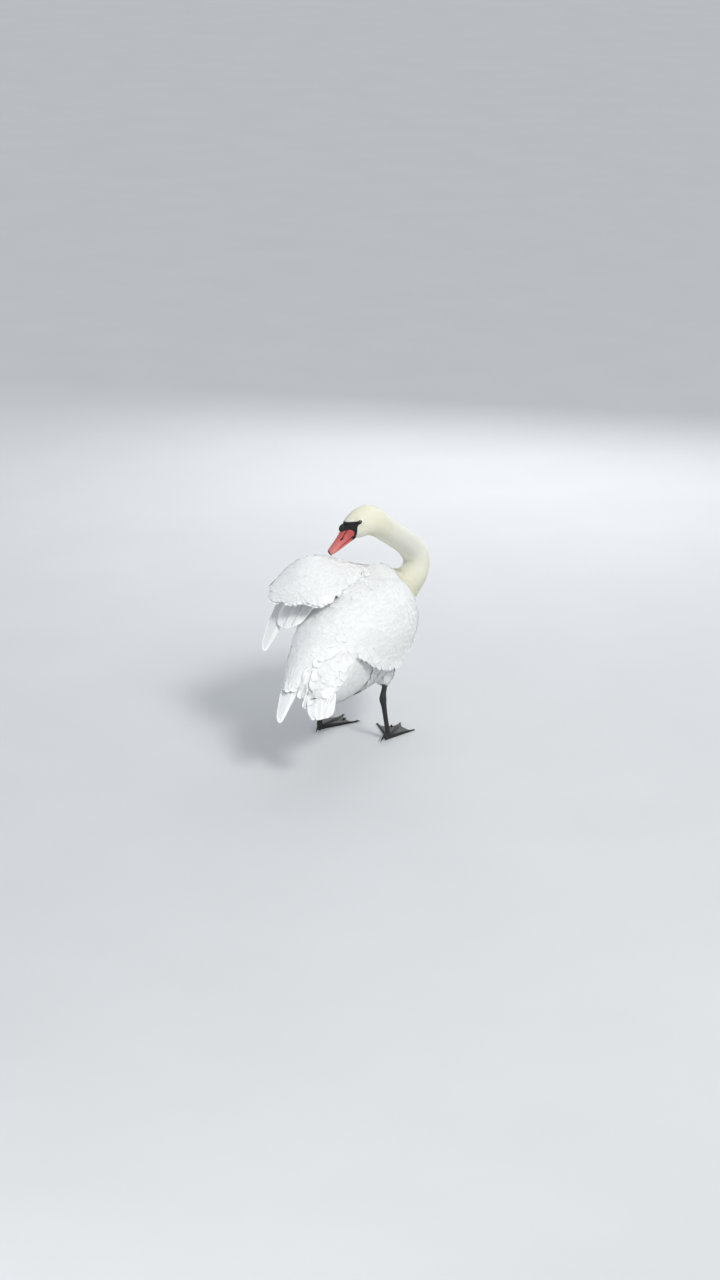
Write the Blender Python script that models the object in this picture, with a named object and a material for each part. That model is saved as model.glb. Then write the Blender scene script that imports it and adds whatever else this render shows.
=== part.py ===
"""A standing adult mute swan that preens: the neck loops back over the body, the bill reaches down to the
raised left wing, the right wing is folded and the tail hangs a little to the right.

Every place is given as (forward, left, up) in metres from a point on the floor under the middle of the
trunk. The swan faces -Y, so left is +X and up is +Z. The last step shifts the whole bird so that the
origin is the bottom centre of its box.
"""

import math

import bmesh
import bpy
from mathutils import Matrix, Quaternion, Vector

# Driving sizes, in metres
GAP = 0.0003  # clearance between pieces that touch
RING_SIDES = 24  # facets round the trunk, neck and head
LIMB_SIDES = 10  # facets round a leg
THIGH_SIDES = 16  # facets round a thigh
TOE_SIDES = 8  # facets round a hind toe
QUILL_SIDES = 10  # facets round a folded wing tip
UP = Vector((0, 0, 1))
EYE_RADIUS = 0.0068
EYE_RISE = 0.0140  # above the line of the head
EYE_DEPTH = 0.62  # how much of the eye's radius lies inside the side of the head
EYE_BEHIND_BILL = 3.25  # rows of the head between the eye and the bill
KNOB_RADII = (0.0095, 0.0120, 0.0090)  # across, along the bill and upwards
KNOB_FORWARD = 0.0012  # from the bill's root
KNOB_RISE = 0.0185  # above the bill's line
MOUTH_GAP = 0.001  # how far the lower bill hangs below its rows
TOE_SPREAD = math.radians(29)  # between neighbouring front toes
TOE_LENGTHS = (0.103, 0.126, 0.119)  # inner, middle and outer toe, claws included
WEB_THICKNESS = 0.0028
TOE_THICKNESS = 0.0095

# Trunk, neck and head along one line: forward, left, up, half width, rise above it, drop below it
TRUNK = [
    (-0.340, -0.046, 0.225, 0.036, 0.022, 0.033),
    (-0.300, -0.032, 0.235, 0.053, 0.040, 0.070),
    (-0.240, -0.016, 0.250, 0.071, 0.057, 0.110),
    (-0.160, -0.003, 0.262, 0.094, 0.092, 0.130),
    (-0.060, 0.000, 0.270, 0.116, 0.122, 0.140),
    (0.050, 0.000, 0.272, 0.121, 0.131, 0.139),
    (0.130, 0.002, 0.276, 0.106, 0.147, 0.132),
    (0.185, 0.005, 0.286, 0.080, 0.149, 0.121),
    (0.225, 0.004, 0.301, 0.058, 0.122, 0.104),
    (0.253, -0.004, 0.317, 0.047, 0.088, 0.082),
]
NECK = [
    (0.253, -0.004, 0.317, 0.047, 0.088, 0.082),
    (0.284, -0.020, 0.335, 0.041, 0.054, 0.056),
    (0.309, -0.032, 0.356, 0.038, 0.041, 0.044),
    (0.322, -0.035, 0.381, 0.0375, 0.038, 0.039),
    (0.321, -0.031, 0.407, 0.037, 0.037, 0.037),
    (0.301, -0.023, 0.432, 0.036, 0.036, 0.036),
    (0.262, -0.020, 0.458, 0.0350, 0.0350, 0.0350),
    (0.215, -0.015, 0.485, 0.0350, 0.0350, 0.0350),
    (0.165, -0.010, 0.514, 0.0350, 0.0355, 0.0360),
    (0.120, -0.004, 0.541, 0.0355, 0.0370, 0.0385),
]
HEAD = [
    (0.120, -0.004, 0.541, 0.0355, 0.0370, 0.0385),
    (0.096, -0.001, 0.554, 0.0355, 0.0385, 0.0405),
    (0.075, 0.006, 0.561, 0.0345, 0.0405, 0.0405),
    (0.056, 0.018, 0.557, 0.0330, 0.0390, 0.0405),
    (0.043, 0.032, 0.545, 0.0290, 0.0340, 0.0350),
    (0.034, 0.044, 0.532, 0.0235, 0.0275, 0.0275),
]
NECK_CUTS = (0.36, 0.68)  # where the neck is parted into three lengths, as shares of its rows
BILL_TIP = (0.000, 0.083, 0.480)

# Upper bill along its length: share, half width, rise to the culmen, drop to the cutting edge
UPPER_BILL = [
    (0.00, 0.0190, 0.0190, 0.0120),
    (0.12, 0.0185, 0.0175, 0.0115),
    (0.30, 0.0165, 0.0142, 0.0100),
    (0.50, 0.0158, 0.0112, 0.0085),
    (0.72, 0.0160, 0.0090, 0.0065),
    (0.90, 0.0140, 0.0062, 0.0045),
    (0.98, 0.0080, 0.0036, 0.0034),
]
# Lower bill: share, half width, drop to its top face, drop to its underside
LOWER_BILL = [
    (0.00, 0.0170, 0.0125, 0.0225),
    (0.30, 0.0140, 0.0106, 0.0178),
    (0.60, 0.0128, 0.0082, 0.0138),
    (0.86, 0.0105, 0.0056, 0.0092),
    (0.94, 0.0060, 0.0050, 0.0070),
]

# Wings as curved plates: each row runs from the edge at the back to the edge at the flank
RIGHT_WING = [
    [
        (0.204, -0.030, 0.340), (0.206, -0.052, 0.333), (0.208, -0.063, 0.311),
        (0.206, -0.064, 0.284), (0.200, -0.060, 0.262),
    ],
    [
        (0.140, -0.020, 0.396), (0.146, -0.073, 0.384), (0.150, -0.103, 0.340),
        (0.148, -0.1145, 0.288), (0.138, -0.106, 0.238),
    ],
    [
        (0.050, 0.004, 0.409), (0.055, -0.060, 0.403), (0.060, -0.113, 0.357),
        (0.058, -0.136, 0.285), (0.050, -0.122, 0.209),
    ],
    [
        (-0.050, 0.036, 0.403), (-0.045, -0.040, 0.408), (-0.042, -0.104, 0.370),
        (-0.042, -0.134, 0.296), (-0.050, -0.123, 0.211),
    ],
    [
        (-0.150, 0.074, 0.368), (-0.147, 0.006, 0.392), (-0.142, -0.062, 0.378),
        (-0.137, -0.112, 0.322), (-0.134, -0.114, 0.237),
    ],
    [
        (-0.220, 0.090, 0.320), (-0.220, 0.046, 0.352), (-0.216, -0.010, 0.362),
        (-0.206, -0.066, 0.338), (-0.194, -0.100, 0.280),
    ],
    [
        (-0.290, 0.076, 0.262), (-0.290, 0.061, 0.292), (-0.286, 0.034, 0.310),
        (-0.280, 0.004, 0.316), (-0.268, -0.038, 0.308),
    ],
    [
        (-0.335, 0.064, 0.236), (-0.336, 0.052, 0.257), (-0.336, 0.036, 0.268),
        (-0.330, 0.014, 0.272), (-0.318, -0.018, 0.268),
    ],
    [
        (-0.360, 0.055, 0.228), (-0.362, 0.044, 0.238), (-0.364, 0.030, 0.243),
        (-0.362, 0.014, 0.240), (-0.354, -0.008, 0.230),
    ],
]
LEFT_WING = [
    [
        (0.214, 0.010, 0.372), (0.216, 0.036, 0.364), (0.216, 0.054, 0.338),
        (0.214, 0.062, 0.306), (0.208, 0.060, 0.276),
    ],
    [
        (0.150, 0.008, 0.416), (0.154, 0.062, 0.410), (0.154, 0.106, 0.376),
        (0.150, 0.122, 0.326), (0.142, 0.118, 0.270),
    ],
    [
        (0.055, 0.000, 0.420), (0.058, 0.058, 0.449), (0.060, 0.118, 0.446),
        (0.055, 0.158, 0.402), (0.045, 0.158, 0.330),
    ],
    [
        (-0.030, 0.000, 0.420), (-0.030, 0.056, 0.468), (-0.030, 0.122, 0.482),
        (-0.036, 0.172, 0.454), (-0.042, 0.190, 0.406),
    ],
    [
        (-0.110, 0.002, 0.418), (-0.110, 0.052, 0.450), (-0.110, 0.112, 0.463),
        (-0.112, 0.166, 0.447), (-0.116, 0.193, 0.420),
    ],
    [
        (-0.170, 0.004, 0.409), (-0.170, 0.048, 0.425), (-0.170, 0.104, 0.431),
        (-0.170, 0.152, 0.424), (-0.170, 0.181, 0.411),
    ],
    [
        (-0.196, 0.006, 0.404), (-0.198, 0.046, 0.411), (-0.200, 0.094, 0.407),
        (-0.194, 0.140, 0.406), (-0.186, 0.171, 0.405),
    ],
]
LEFT_SECONDARIES = [
    [
        (0.000, 0.052, 0.436), (0.000, 0.078, 0.450), (0.000, 0.106, 0.456),
        (0.000, 0.132, 0.444), (0.000, 0.148, 0.424),
    ],
    [
        (-0.090, 0.052, 0.412), (-0.090, 0.078, 0.424), (-0.090, 0.106, 0.424),
        (-0.090, 0.132, 0.410), (-0.090, 0.148, 0.392),
    ],
    [
        (-0.160, 0.058, 0.380), (-0.160, 0.080, 0.384), (-0.160, 0.104, 0.380),
        (-0.160, 0.128, 0.368), (-0.160, 0.142, 0.356),
    ],
    [
        (-0.205, 0.074, 0.350), (-0.210, 0.088, 0.350), (-0.214, 0.104, 0.345),
        (-0.216, 0.120, 0.337), (-0.218, 0.132, 0.328),
    ],
]
TAIL = [
    [
        (-0.240, 0.026, 0.262), (-0.240, 0.004, 0.272), (-0.240, -0.020, 0.276),
        (-0.240, -0.044, 0.272), (-0.240, -0.064, 0.262),
    ],
    [
        (-0.310, 0.012, 0.238), (-0.312, -0.010, 0.248), (-0.314, -0.034, 0.252),
        (-0.312, -0.058, 0.246), (-0.308, -0.080, 0.234),
    ],
    [
        (-0.365, -0.011, 0.208), (-0.370, -0.030, 0.218), (-0.372, -0.051, 0.221),
        (-0.368, -0.072, 0.215), (-0.360, -0.092, 0.204),
    ],
    [
        (-0.405, -0.038, 0.184), (-0.418, -0.052, 0.191), (-0.424, -0.070, 0.193),
        (-0.416, -0.087, 0.188), (-0.400, -0.101, 0.180),
    ],
]
# Folded primaries: forward, left, up, half width, rise, drop
RIGHT_PRIMARIES = [
    (-0.250, 0.046, 0.306, 0.0190, 0.0040, 0.0040),
    (-0.310, 0.042, 0.262, 0.0225, 0.0040, 0.0040),
    (-0.360, 0.034, 0.226, 0.0225, 0.0035, 0.0035),
    (-0.400, 0.026, 0.200, 0.0185, 0.0030, 0.0030),
    (-0.435, 0.018, 0.179, 0.0130, 0.0022, 0.0022),
    (-0.455, 0.0125, 0.168, 0.0050, 0.0012, 0.0012),
]
LEFT_PRIMARIES = [
    (-0.020, 0.168, 0.412, 0.0150, 0.0040, 0.0040),
    (-0.100, 0.166, 0.374, 0.0175, 0.0040, 0.0040),
    (-0.160, 0.158, 0.350, 0.0180, 0.0040, 0.0040),
    (-0.205, 0.149, 0.330, 0.0180, 0.0035, 0.0035),
    (-0.250, 0.143, 0.303, 0.0160, 0.0028, 0.0028),
    (-0.278, 0.139, 0.282, 0.0070, 0.0015, 0.0015),
]
# Legs, for the left side: forward, left, up, half width, rise, drop
THIGH = [
    (0.004, 0.062, 0.215, 0.036, 0.046, 0.050),
    (0.000, 0.070, 0.182, 0.034, 0.040, 0.046),
    (-0.012, 0.078, 0.160, 0.024, 0.027, 0.032),
    (-0.021, 0.083, 0.144, 0.012, 0.014, 0.016),
]
SHANK = [
    (-0.018, 0.085, 0.150, 0.0070, 0.0080, 0.0080),
    (-0.034, 0.087, 0.131, 0.0070, 0.0080, 0.0080),
    (-0.043, 0.089, 0.116, 0.0095, 0.0115, 0.0115),
    (-0.041, 0.091, 0.097, 0.0070, 0.0085, 0.0085),
    (-0.036, 0.094, 0.060, 0.0060, 0.0072, 0.0072),
    (-0.031, 0.097, 0.028, 0.0065, 0.0078, 0.0078),
    (-0.028, 0.098, 0.014, 0.0090, 0.0095, 0.0095),
]
HIND_TOE = [
    (-0.032, 0.096, 0.022, 0.0035, 0.0038, 0.0038),
    (-0.050, 0.094, 0.014, 0.0032, 0.0034, 0.0034),
    (-0.062, 0.093, 0.007, 0.0012, 0.0012, 0.0012),
]
FOOT_HEEL = (-0.032, 0.098)  # forward and left of the toes' root
FOOT_TURN = math.radians(7)  # the feet point a little inwards


def at(forward, left, up):
    """A place given as forward, left and up."""
    return Vector((left, -forward, up))


def smooth_rows(rows, count):
    """count rows read from a smooth curve through the given ones, end to end."""
    last = len(rows) - 1
    made = []
    for i in range(count):
        place = last * i / (count - 1)
        k = min(int(place), last - 1)
        t = place - k
        before, start = rows[max(k - 1, 0)], rows[k]
        end, after = rows[k + 1], rows[min(k + 2, last)]
        made.append(
            tuple(
                0.5 * (2 * b + (c - a) * t + (2 * a - 5 * b + 4 * c - d) * t**2)
                + 0.5 * (3 * b - a - 3 * c + d) * t**3
                for a, b, c, d in zip(before, start, end, after)
            )
        )
    return made


def tangents(points):
    """The direction of a line of points at each of them."""
    last = len(points) - 1
    return [(points[min(i + 1, last)] - points[max(i - 1, 0)]).normalized() for i in range(last + 1)]


def carried_tops(directions, first_top):
    """The upward direction at each point of a line, carried along it with no twist."""
    tops = [(first_top - directions[0] * first_top.dot(directions[0])).normalized()]
    for before, after in zip(directions, directions[1:]):
        top = before.rotation_difference(after) @ tops[-1]
        tops.append((top - after * top.dot(after)).normalized())
    return tops


def signed_angle(first, second, axis):
    """The turn about axis that takes first to second."""
    return math.atan2(axis.dot(first.cross(second)), first.dot(second))


class Line:
    """Sections along a body: centres, directions, tops and sizes."""

    def __init__(self, rows, first_top):
        self.centres = [at(*row[:3]) for row in rows]
        self.sizes = [row[3:] for row in rows]
        self.directions = tangents(self.centres)
        self.tops = carried_tops(self.directions, first_top)

    def twist(self, last_top, first, last):
        """Turns the tops gradually between two rows, so that the rows after them end at last_top."""
        wanted = last_top - self.directions[-1] * last_top.dot(self.directions[-1])
        angle = signed_angle(self.tops[-1], wanted, self.directions[-1])
        for i, axis in enumerate(self.directions):
            share = min(max((i - first) / (last - first), 0), 1)
            eased = share * share * (3 - 2 * share)
            self.tops[i] = Quaternion(axis, angle * eased) @ self.tops[i]

    def part(self, first, last):
        """The same line from row first to row last, pulled in by half a gap at a shared end."""
        piece = object.__new__(Line)
        for name in ("centres", "sizes", "directions", "tops"):
            setattr(piece, name, list(getattr(self, name)[first : last + 1]))
        if first > 0:
            piece.centres[0] = piece.centres[0] + piece.directions[0] * (GAP / 2)
        if last < len(self.centres) - 1:
            piece.centres[-1] = piece.centres[-1] - piece.directions[-1] * (GAP / 2)
        return piece


def ring(bm, centre, direction, top, size, sides):
    """One oval of vertices across a line. Its edges are returned."""
    half_width, rise, drop = size
    side = top.cross(direction)
    made = bmesh.ops.create_circle(bm, segments=sides, radius=1.0)["verts"]
    for i, vert in enumerate(made):
        angle = 2 * math.pi * i / sides
        height = math.sin(angle) * (rise if math.sin(angle) > 0 else drop)
        vert.co = centre + side * (half_width * math.cos(angle)) + top * height
    members = set(made)
    return [edge for edge in bm.edges if edge.verts[0] in members and edge.verts[1] in members]


def loft(name, line, material, sides=RING_SIDES):
    """A closed body through the ovals of a line, with flat ends."""
    bm = bmesh.new()
    rings = [
        ring(bm, *section, sides)
        for section in zip(line.centres, line.directions, line.tops, line.sizes)
    ]
    for before, after in zip(rings, rings[1:]):
        bmesh.ops.bridge_loops(bm, edges=before + after)
    bmesh.ops.holes_fill(bm, edges=rings[0] + rings[-1], sides=sides)
    return finish(bm, name, material)


def plate(name, rows, material, root, middle, rim, tips=0, tip_length=0.0, across=13, along=15):
    """A curved feathered plate through rows of points: thick where it leaves the body, thinner along its
    middle and thin at its rim. Its last row ends in a number of rounded feather tips."""
    columns = [smooth_rows([row[k] for row in rows], along) for k in range(len(rows[0]))]
    grid = [smooth_rows([column[i] for column in columns], across) for i in range(along)]
    bm = bmesh.new()
    made = bmesh.ops.create_grid(bm, x_segments=across - 1, y_segments=along - 1, size=0.5)["verts"]
    thickness = {}
    for vert in made:
        v = round((vert.co.x + 0.5) * (across - 1))
        u = round((vert.co.y + 0.5) * (along - 1))
        place = at(*grid[u][v])
        if tips and u == along - 1:
            backward = (place - at(*grid[u - 2][v])).normalized()
            place += backward * tip_length * abs(math.sin(math.pi * tips * v / (across - 1)))
        vert.co = place
        to_root = 1 - u / (along - 1)
        bulge = to_root**0.5 if v == 0 else math.sin(math.pi * v / (across - 1)) ** 0.7
        ending = min(1.0, (along - 1 - u) / 4)
        starting = min(1.0, (u + 0.5) / 3)
        thickness[vert] = rim + ((middle - rim) * ending + (root - middle) * to_root**2) * bulge * starting
    bmesh.ops.recalc_face_normals(bm, faces=bm.faces[:])
    bm.normal_update()
    outward = 1 if bm.faces[:][len(bm.faces) // 2].normal.z > 0 else -1
    inner = {vert: vert.co - vert.normal * (outward * thickness[vert]) for vert in made}
    raised = bmesh.ops.extrude_face_region(bm, geom=bm.faces[:])["geom"]
    copies = [item for item in raised if isinstance(item, bmesh.types.BMVert)]
    for source, copy in zip(made, nearest_copies(made, copies)):
        copy.co = inner[source]
    return finish(bm, name, material)


def nearest_copies(sources, copies):
    """The extruded copy of each source vertex, found by its place."""
    by_place = {tuple(copy.co): copy for copy in copies}
    return [by_place[tuple(source.co)] for source in sources]


def finish(bm, name, material):
    """Turns a bmesh into a named object of triangles that point out. Triangles keep a piece and the room
    cut for it the same shape."""
    bmesh.ops.recalc_face_normals(bm, faces=bm.faces[:])
    bmesh.ops.triangulate(bm, faces=bm.faces[:])
    mesh = bpy.data.meshes.new(name)
    bm.to_mesh(mesh)
    bm.free()
    mesh.materials.append(material)
    mesh.shade_smooth()
    mesh.set_sharp_from_angle(angle=math.radians(50))
    made = bpy.data.objects.new(name, mesh)
    bpy.context.scene.collection.objects.link(made)
    return made


def seat(host, *guests):
    """Cuts the room for each guest out of host, with the gap that touching pieces keep."""
    for guest in guests:
        cutter = bpy.data.objects.get(guest.name + "_room")
        if cutter is None:
            cutter = bpy.data.objects.new(guest.name + "_room", guest.data)
            bpy.context.scene.collection.objects.link(cutter)
            cutter.hide_render = True
            cutter.display_type = "WIRE"
            swell = cutter.modifiers.new("gap", "DISPLACE")
            swell.strength = GAP
            swell.mid_level = 0.0
        cut = host.modifiers.new("room_for_" + guest.name, "BOOLEAN")
        cut.operation = "DIFFERENCE"
        cut.object = cutter


def finish_of(name, colour, roughness):
    """A Principled material of one colour."""
    material = bpy.data.materials.new(name)
    material.use_nodes = True
    shader = material.node_tree.nodes["Principled BSDF"]
    shader.inputs["Base Color"].default_value = (*colour, 1.0)
    shader.inputs["Roughness"].default_value = roughness
    shader.inputs["Metallic"].default_value = 0.0
    return material


def clear_scene():
    for old in list(bpy.data.objects):
        bpy.data.objects.remove(old)


def spine_line():
    """Trunk, neck and head as one line, with the twist of the head taken up along the neck.
    Returns the line and the rows where the trunk ends, the neck is parted, and the head begins."""
    trunk = smooth_rows(TRUNK, 19)
    neck = smooth_rows(TRUNK[-2:] + NECK[1:] + HEAD[1:2], 23)[2:-2]
    head = smooth_rows(NECK[-2:] + HEAD[1:], 13)[2:]
    rows = trunk + neck[1:] + head[1:]
    line = Line(rows, UP)
    trunk_end = len(trunk) - 1
    neck_end = trunk_end + len(neck) - 1
    bill_way = at(*BILL_TIP) - line.centres[-1]
    away_from_eye = bill_way.cross(UP)
    line.twist(away_from_eye.cross(bill_way).normalized(), trunk_end + 2, neck_end)
    cuts = [trunk_end + round(share * (neck_end - trunk_end)) for share in NECK_CUTS]
    return line, trunk_end, cuts, neck_end


def bill(head_line, red, black):
    """Upper bill, lower bill and the knob at the bill's root."""
    root = head_line.centres[-1] + head_line.directions[-1] * (GAP / 2)
    way = at(*BILL_TIP) - root
    direction = way.normalized()
    top = (head_line.tops[-1] - direction * head_line.tops[-1].dot(direction)).normalized()

    def line_of(rows, sizes):
        made = head_line.part(0, 0)
        made.centres = [root + way * row[0] for row in rows]
        made.sizes = sizes
        made.directions = [head_line.directions[-1]] + [direction] * (len(rows) - 1)
        made.tops = [head_line.tops[-1]] + [top] * (len(rows) - 1)
        return made

    upper_rows = smooth_rows(UPPER_BILL, 11)
    upper = loft("bill_upper", line_of(upper_rows, [row[1:] for row in upper_rows]), red, 16)
    lower_rows = smooth_rows(LOWER_BILL, 7)
    lower_line = line_of(lower_rows, [(row[1], *[(row[3] - row[2]) / 2] * 2) for row in lower_rows])
    for i, row in enumerate(lower_rows):
        drop = (row[2] + row[3]) / 2 + MOUTH_GAP
        lower_line.centres[i] = lower_line.centres[i] - lower_line.tops[i] * drop
    lower = loft("bill_lower", lower_line, red, 12)
    knob_place = root + direction * KNOB_FORWARD + top * KNOB_RISE
    knob = ball("bill_knob", knob_place, KNOB_RADII, direction, top, black)
    seat(lower, upper)
    seat(upper, knob)
    return upper, lower, knob


def ball(name, centre, radii, forward, top, material):
    """An oval ball: radii across, along forward and along top."""
    bm = bmesh.new()
    bmesh.ops.create_uvsphere(bm, u_segments=14, v_segments=8, radius=1.0)
    side = forward.cross(top)
    turn = Matrix((side * radii[0], forward * radii[1], top * radii[2])).transposed().to_4x4()
    bmesh.ops.transform(bm, matrix=Matrix.Translation(centre) @ turn, verts=bm.verts[:])
    return finish(bm, name, material)


def eyes(head_line, black):
    """The two eyes, in the sides of the head a little above its line."""
    place = len(head_line.centres) - 1 - EYE_BEHIND_BILL
    index = int(place)
    centre = head_line.centres[index].lerp(head_line.centres[index + 1], place - index)
    direction, top = head_line.directions[index], head_line.tops[index]
    side = top.cross(direction)
    half_width = head_line.sizes[index][0]
    made = []
    for name, hand in (("eye_left", 1), ("eye_right", -1)):
        place = centre + top * EYE_RISE + side * (hand * (half_width * 0.955 - EYE_RADIUS * EYE_DEPTH))
        made.append(ball(name, place, (EYE_RADIUS,) * 3, direction, top, black))
    return made


def foot(name, hand, skin):
    """A webbed foot, flat underneath: three toes with claws stand out of the web between them."""
    steps_per_gap, rings_out = 6, 6
    turns = [(i / steps_per_gap - 1) * TOE_SPREAD for i in range(2 * steps_per_gap + 1)]
    bm = bmesh.new()
    made = bmesh.ops.create_grid(bm, x_segments=len(turns) - 1, y_segments=rings_out, size=0.5)["verts"]
    heights = {}
    for vert in made:
        k = round((vert.co.x + 0.5) * (len(turns) - 1))
        r = (vert.co.y + 0.5) * 0.96 + 0.04
        toe, between = divmod(k, steps_per_gap)
        next_toe = min(toe + 1, 2)
        length = TOE_LENGTHS[toe] + (TOE_LENGTHS[next_toe] - TOE_LENGTHS[toe]) * between / steps_per_gap
        off_toe = min(between, steps_per_gap - between) / steps_per_gap * 2
        reach = length * (1 - 0.15 * math.sin(math.pi / 2 * min(1.0, off_toe * 1.6)) ** 0.8)
        turn = -hand * turns[k] - hand * FOOT_TURN
        forward, left = math.cos(turn) * reach * r, math.sin(turn) * reach * r
        vert.co = at(FOOT_HEEL[0] + forward, hand * FOOT_HEEL[1] + left, 0)
        ridge = max(0.0, 1 - off_toe * (1.2 + 4.5 * r)) ** 0.6
        taper = 1 - 0.72 * r**1.5
        heights[vert] = WEB_THICKNESS * (1 - 0.5 * r) + TOE_THICKNESS * ridge * taper
    raised = bmesh.ops.extrude_face_region(bm, geom=bm.faces[:])["geom"]
    copies = [item for item in raised if isinstance(item, bmesh.types.BMVert)]
    for source, copy in zip(made, nearest_copies(made, copies)):
        copy.co.z = heights[source]
    return finish(bm, name, skin)


def mirrored(rows, hand):
    """The rows of a left limb, for the side that hand names."""
    return [(row[0], hand * row[1], *row[2:]) for row in rows]


def legs(feathers, skin, trunk):
    """Both legs: a feathered thigh, a bare shank, a hind toe and a webbed foot each."""
    forward = at(1, 0, 0)
    for name, hand in (("left", 1), ("right", -1)):
        thigh_line = Line(smooth_rows(mirrored(THIGH, hand), 7), forward)
        thigh = loft("thigh_" + name, thigh_line, feathers, THIGH_SIDES)
        shank_line = Line(smooth_rows(mirrored(SHANK, hand), 14), forward)
        shank = loft("shank_" + name, shank_line, skin, LIMB_SIDES)
        toe_line = Line(smooth_rows(mirrored(HIND_TOE, hand), 6), UP)
        toe = loft("hind_toe_" + name, toe_line, skin, TOE_SIDES)
        sole = foot("foot_" + name, hand, skin)
        seat(thigh, trunk, shank)
        seat(shank, sole)
        seat(toe, shank)


def build():
    clear_scene()
    feathers = finish_of("white_feathers", (0.86, 0.86, 0.84), 0.75)
    cream = finish_of("cream_feathers", (0.84, 0.80, 0.66), 0.8)
    red = finish_of("bill_red", (0.62, 0.13, 0.06), 0.45)
    black = finish_of("black_skin", (0.02, 0.018, 0.018), 0.4)
    eye_black = finish_of("eye", (0.012, 0.009, 0.007), 0.08)

    line, trunk_end, cuts, neck_end = spine_line()
    trunk = loft("trunk", line.part(0, trunk_end), feathers)
    stops = [trunk_end, *cuts, neck_end]
    for name, first, last in zip(("neck_lower", "neck_middle", "neck_upper"), stops, stops[1:]):
        loft(name, line.part(first, last), cream)
    head_line = line.part(neck_end, len(line.centres) - 1)
    head = loft("head", head_line, cream)
    upper, lower, knob = bill(head_line, red, black)
    seat(head, knob, *eyes(head_line, eye_black))

    right_tip = loft("primaries_right", Line(smooth_rows(RIGHT_PRIMARIES, 11), UP), feathers, QUILL_SIDES)
    left_tip = loft("primaries_left", Line(smooth_rows(LEFT_PRIMARIES, 11), UP), feathers, QUILL_SIDES)
    right = plate("wing_right", RIGHT_WING, feathers, 0.022, 0.016, 0.004, tips=3, tip_length=0.010)
    left = plate("wing_left", LEFT_WING, feathers, 0.055, 0.012, 0.004, tips=3, tip_length=0.010)
    under = plate("secondaries_left", LEFT_SECONDARIES, feathers, 0.004, 0.004, 0.003, 3, 0.008, 10, 8)
    tail = plate("tail", TAIL, feathers, 0.034, 0.030, 0.005, tips=4, tip_length=0.014, along=9)

    seat(right, trunk, right_tip)
    seat(left, trunk, right, left_tip)
    seat(under, left, left_tip)
    seat(tail, trunk, right_tip, right)
    seat(right_tip, trunk)
    legs(feathers, black, trunk)
    stand_at_origin()


def stand_at_origin():
    """Shifts every mesh so that the origin is the bottom centre of the box round the bird."""
    meshes = {piece.data for piece in bpy.data.objects if piece.type == "MESH"}
    corners = [vert.co for mesh in meshes for vert in mesh.vertices]
    low = Vector([min(corner[axis] for corner in corners) for axis in range(3)])
    high = Vector([max(corner[axis] for corner in corners) for axis in range(3)])
    middle = (low + high) / 2
    for mesh in meshes:
        mesh.transform(Matrix.Translation((-middle.x, -middle.y, -low.z)))


build()
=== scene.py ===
"""The looks of a preening mute swan: one skin over the flesh, its plumage in solid vanes, the flight
feathers, bill, eyes and legs, and the stage it stands on. Lengths are in metres."""

import heapq
import math
from functools import cache

import bmesh
import bpy
import numpy as np
from bpy.props import FloatProperty, FloatVectorProperty, IntProperty, PointerProperty
from mathutils import Matrix, Vector
from mathutils.bvhtree import BVHTree
from mathutils.kdtree import KDTree


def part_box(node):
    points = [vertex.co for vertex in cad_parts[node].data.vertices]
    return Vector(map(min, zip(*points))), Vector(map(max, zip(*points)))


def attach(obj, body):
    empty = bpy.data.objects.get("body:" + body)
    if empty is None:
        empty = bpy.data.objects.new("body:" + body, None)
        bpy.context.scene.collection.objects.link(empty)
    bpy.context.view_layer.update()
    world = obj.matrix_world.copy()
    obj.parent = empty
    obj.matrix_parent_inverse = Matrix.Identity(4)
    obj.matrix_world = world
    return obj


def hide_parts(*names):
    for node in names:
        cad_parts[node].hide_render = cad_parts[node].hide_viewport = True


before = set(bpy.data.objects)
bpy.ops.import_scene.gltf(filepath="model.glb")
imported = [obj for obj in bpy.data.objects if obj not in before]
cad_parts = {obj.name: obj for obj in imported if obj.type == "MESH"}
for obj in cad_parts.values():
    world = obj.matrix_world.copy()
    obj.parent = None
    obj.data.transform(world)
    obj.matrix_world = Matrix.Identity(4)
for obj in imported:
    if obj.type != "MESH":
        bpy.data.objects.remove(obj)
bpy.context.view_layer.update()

bl_info = {
    "name": "Preening mute swan",
    "version": (1, 0, 0),
    "blender": (4, 5, 0),
    "location": "3D View > Sidebar > Swan",
    "description": "Skin, plumage, bill, eyes and legs of a life-size mute swan that preens",
    "category": "Object",
}

NECK = ("neck_lower", "neck_middle", "neck_upper")
FLESH = ("trunk", *NECK, "head", "thigh_left", "thigh_right", "wing_left", "wing_right", "tail")
EYES = ("eye_left", "eye_right")
BACKWARD = np.array((0.0, 1.0, 0.0))  # the bird faces the other way

# The bill's own directions, which the face is laid out in
BILL_ROOT = np.array((0.0159, -0.0815, 0.5319))  # middle of the bill where it leaves the head
BILL_FORWARD = (0.5315, 0.4636, -0.7089)
BILL_TOP = (0.5322, 0.4683, 0.7053)
BILL_LENGTH = 0.0732
EYES_UP = 0.26  # how far the eyes look up, as a share of how far they look aside
EYES_FORWARD = 0.06


class SwanSkin(bpy.types.PropertyGroup):
    grain: FloatProperty(name="Grain", description="Size of the skin's faces", default=0.0038, unit="LENGTH")
    coat_head: FloatProperty(
        name="Coat on the head", description="How far the skin lies under the head's outline",
        default=0.0014, unit="LENGTH",
    )
    coat_neck: FloatProperty(
        name="Coat on the neck", description="How far the skin lies under the neck's outline",
        default=0.0030, unit="LENGTH",
    )
    coat_body: FloatProperty(
        name="Coat on the body", description="How far the skin lies under the body's outline",
        default=0.0036, unit="LENGTH",
    )


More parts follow.
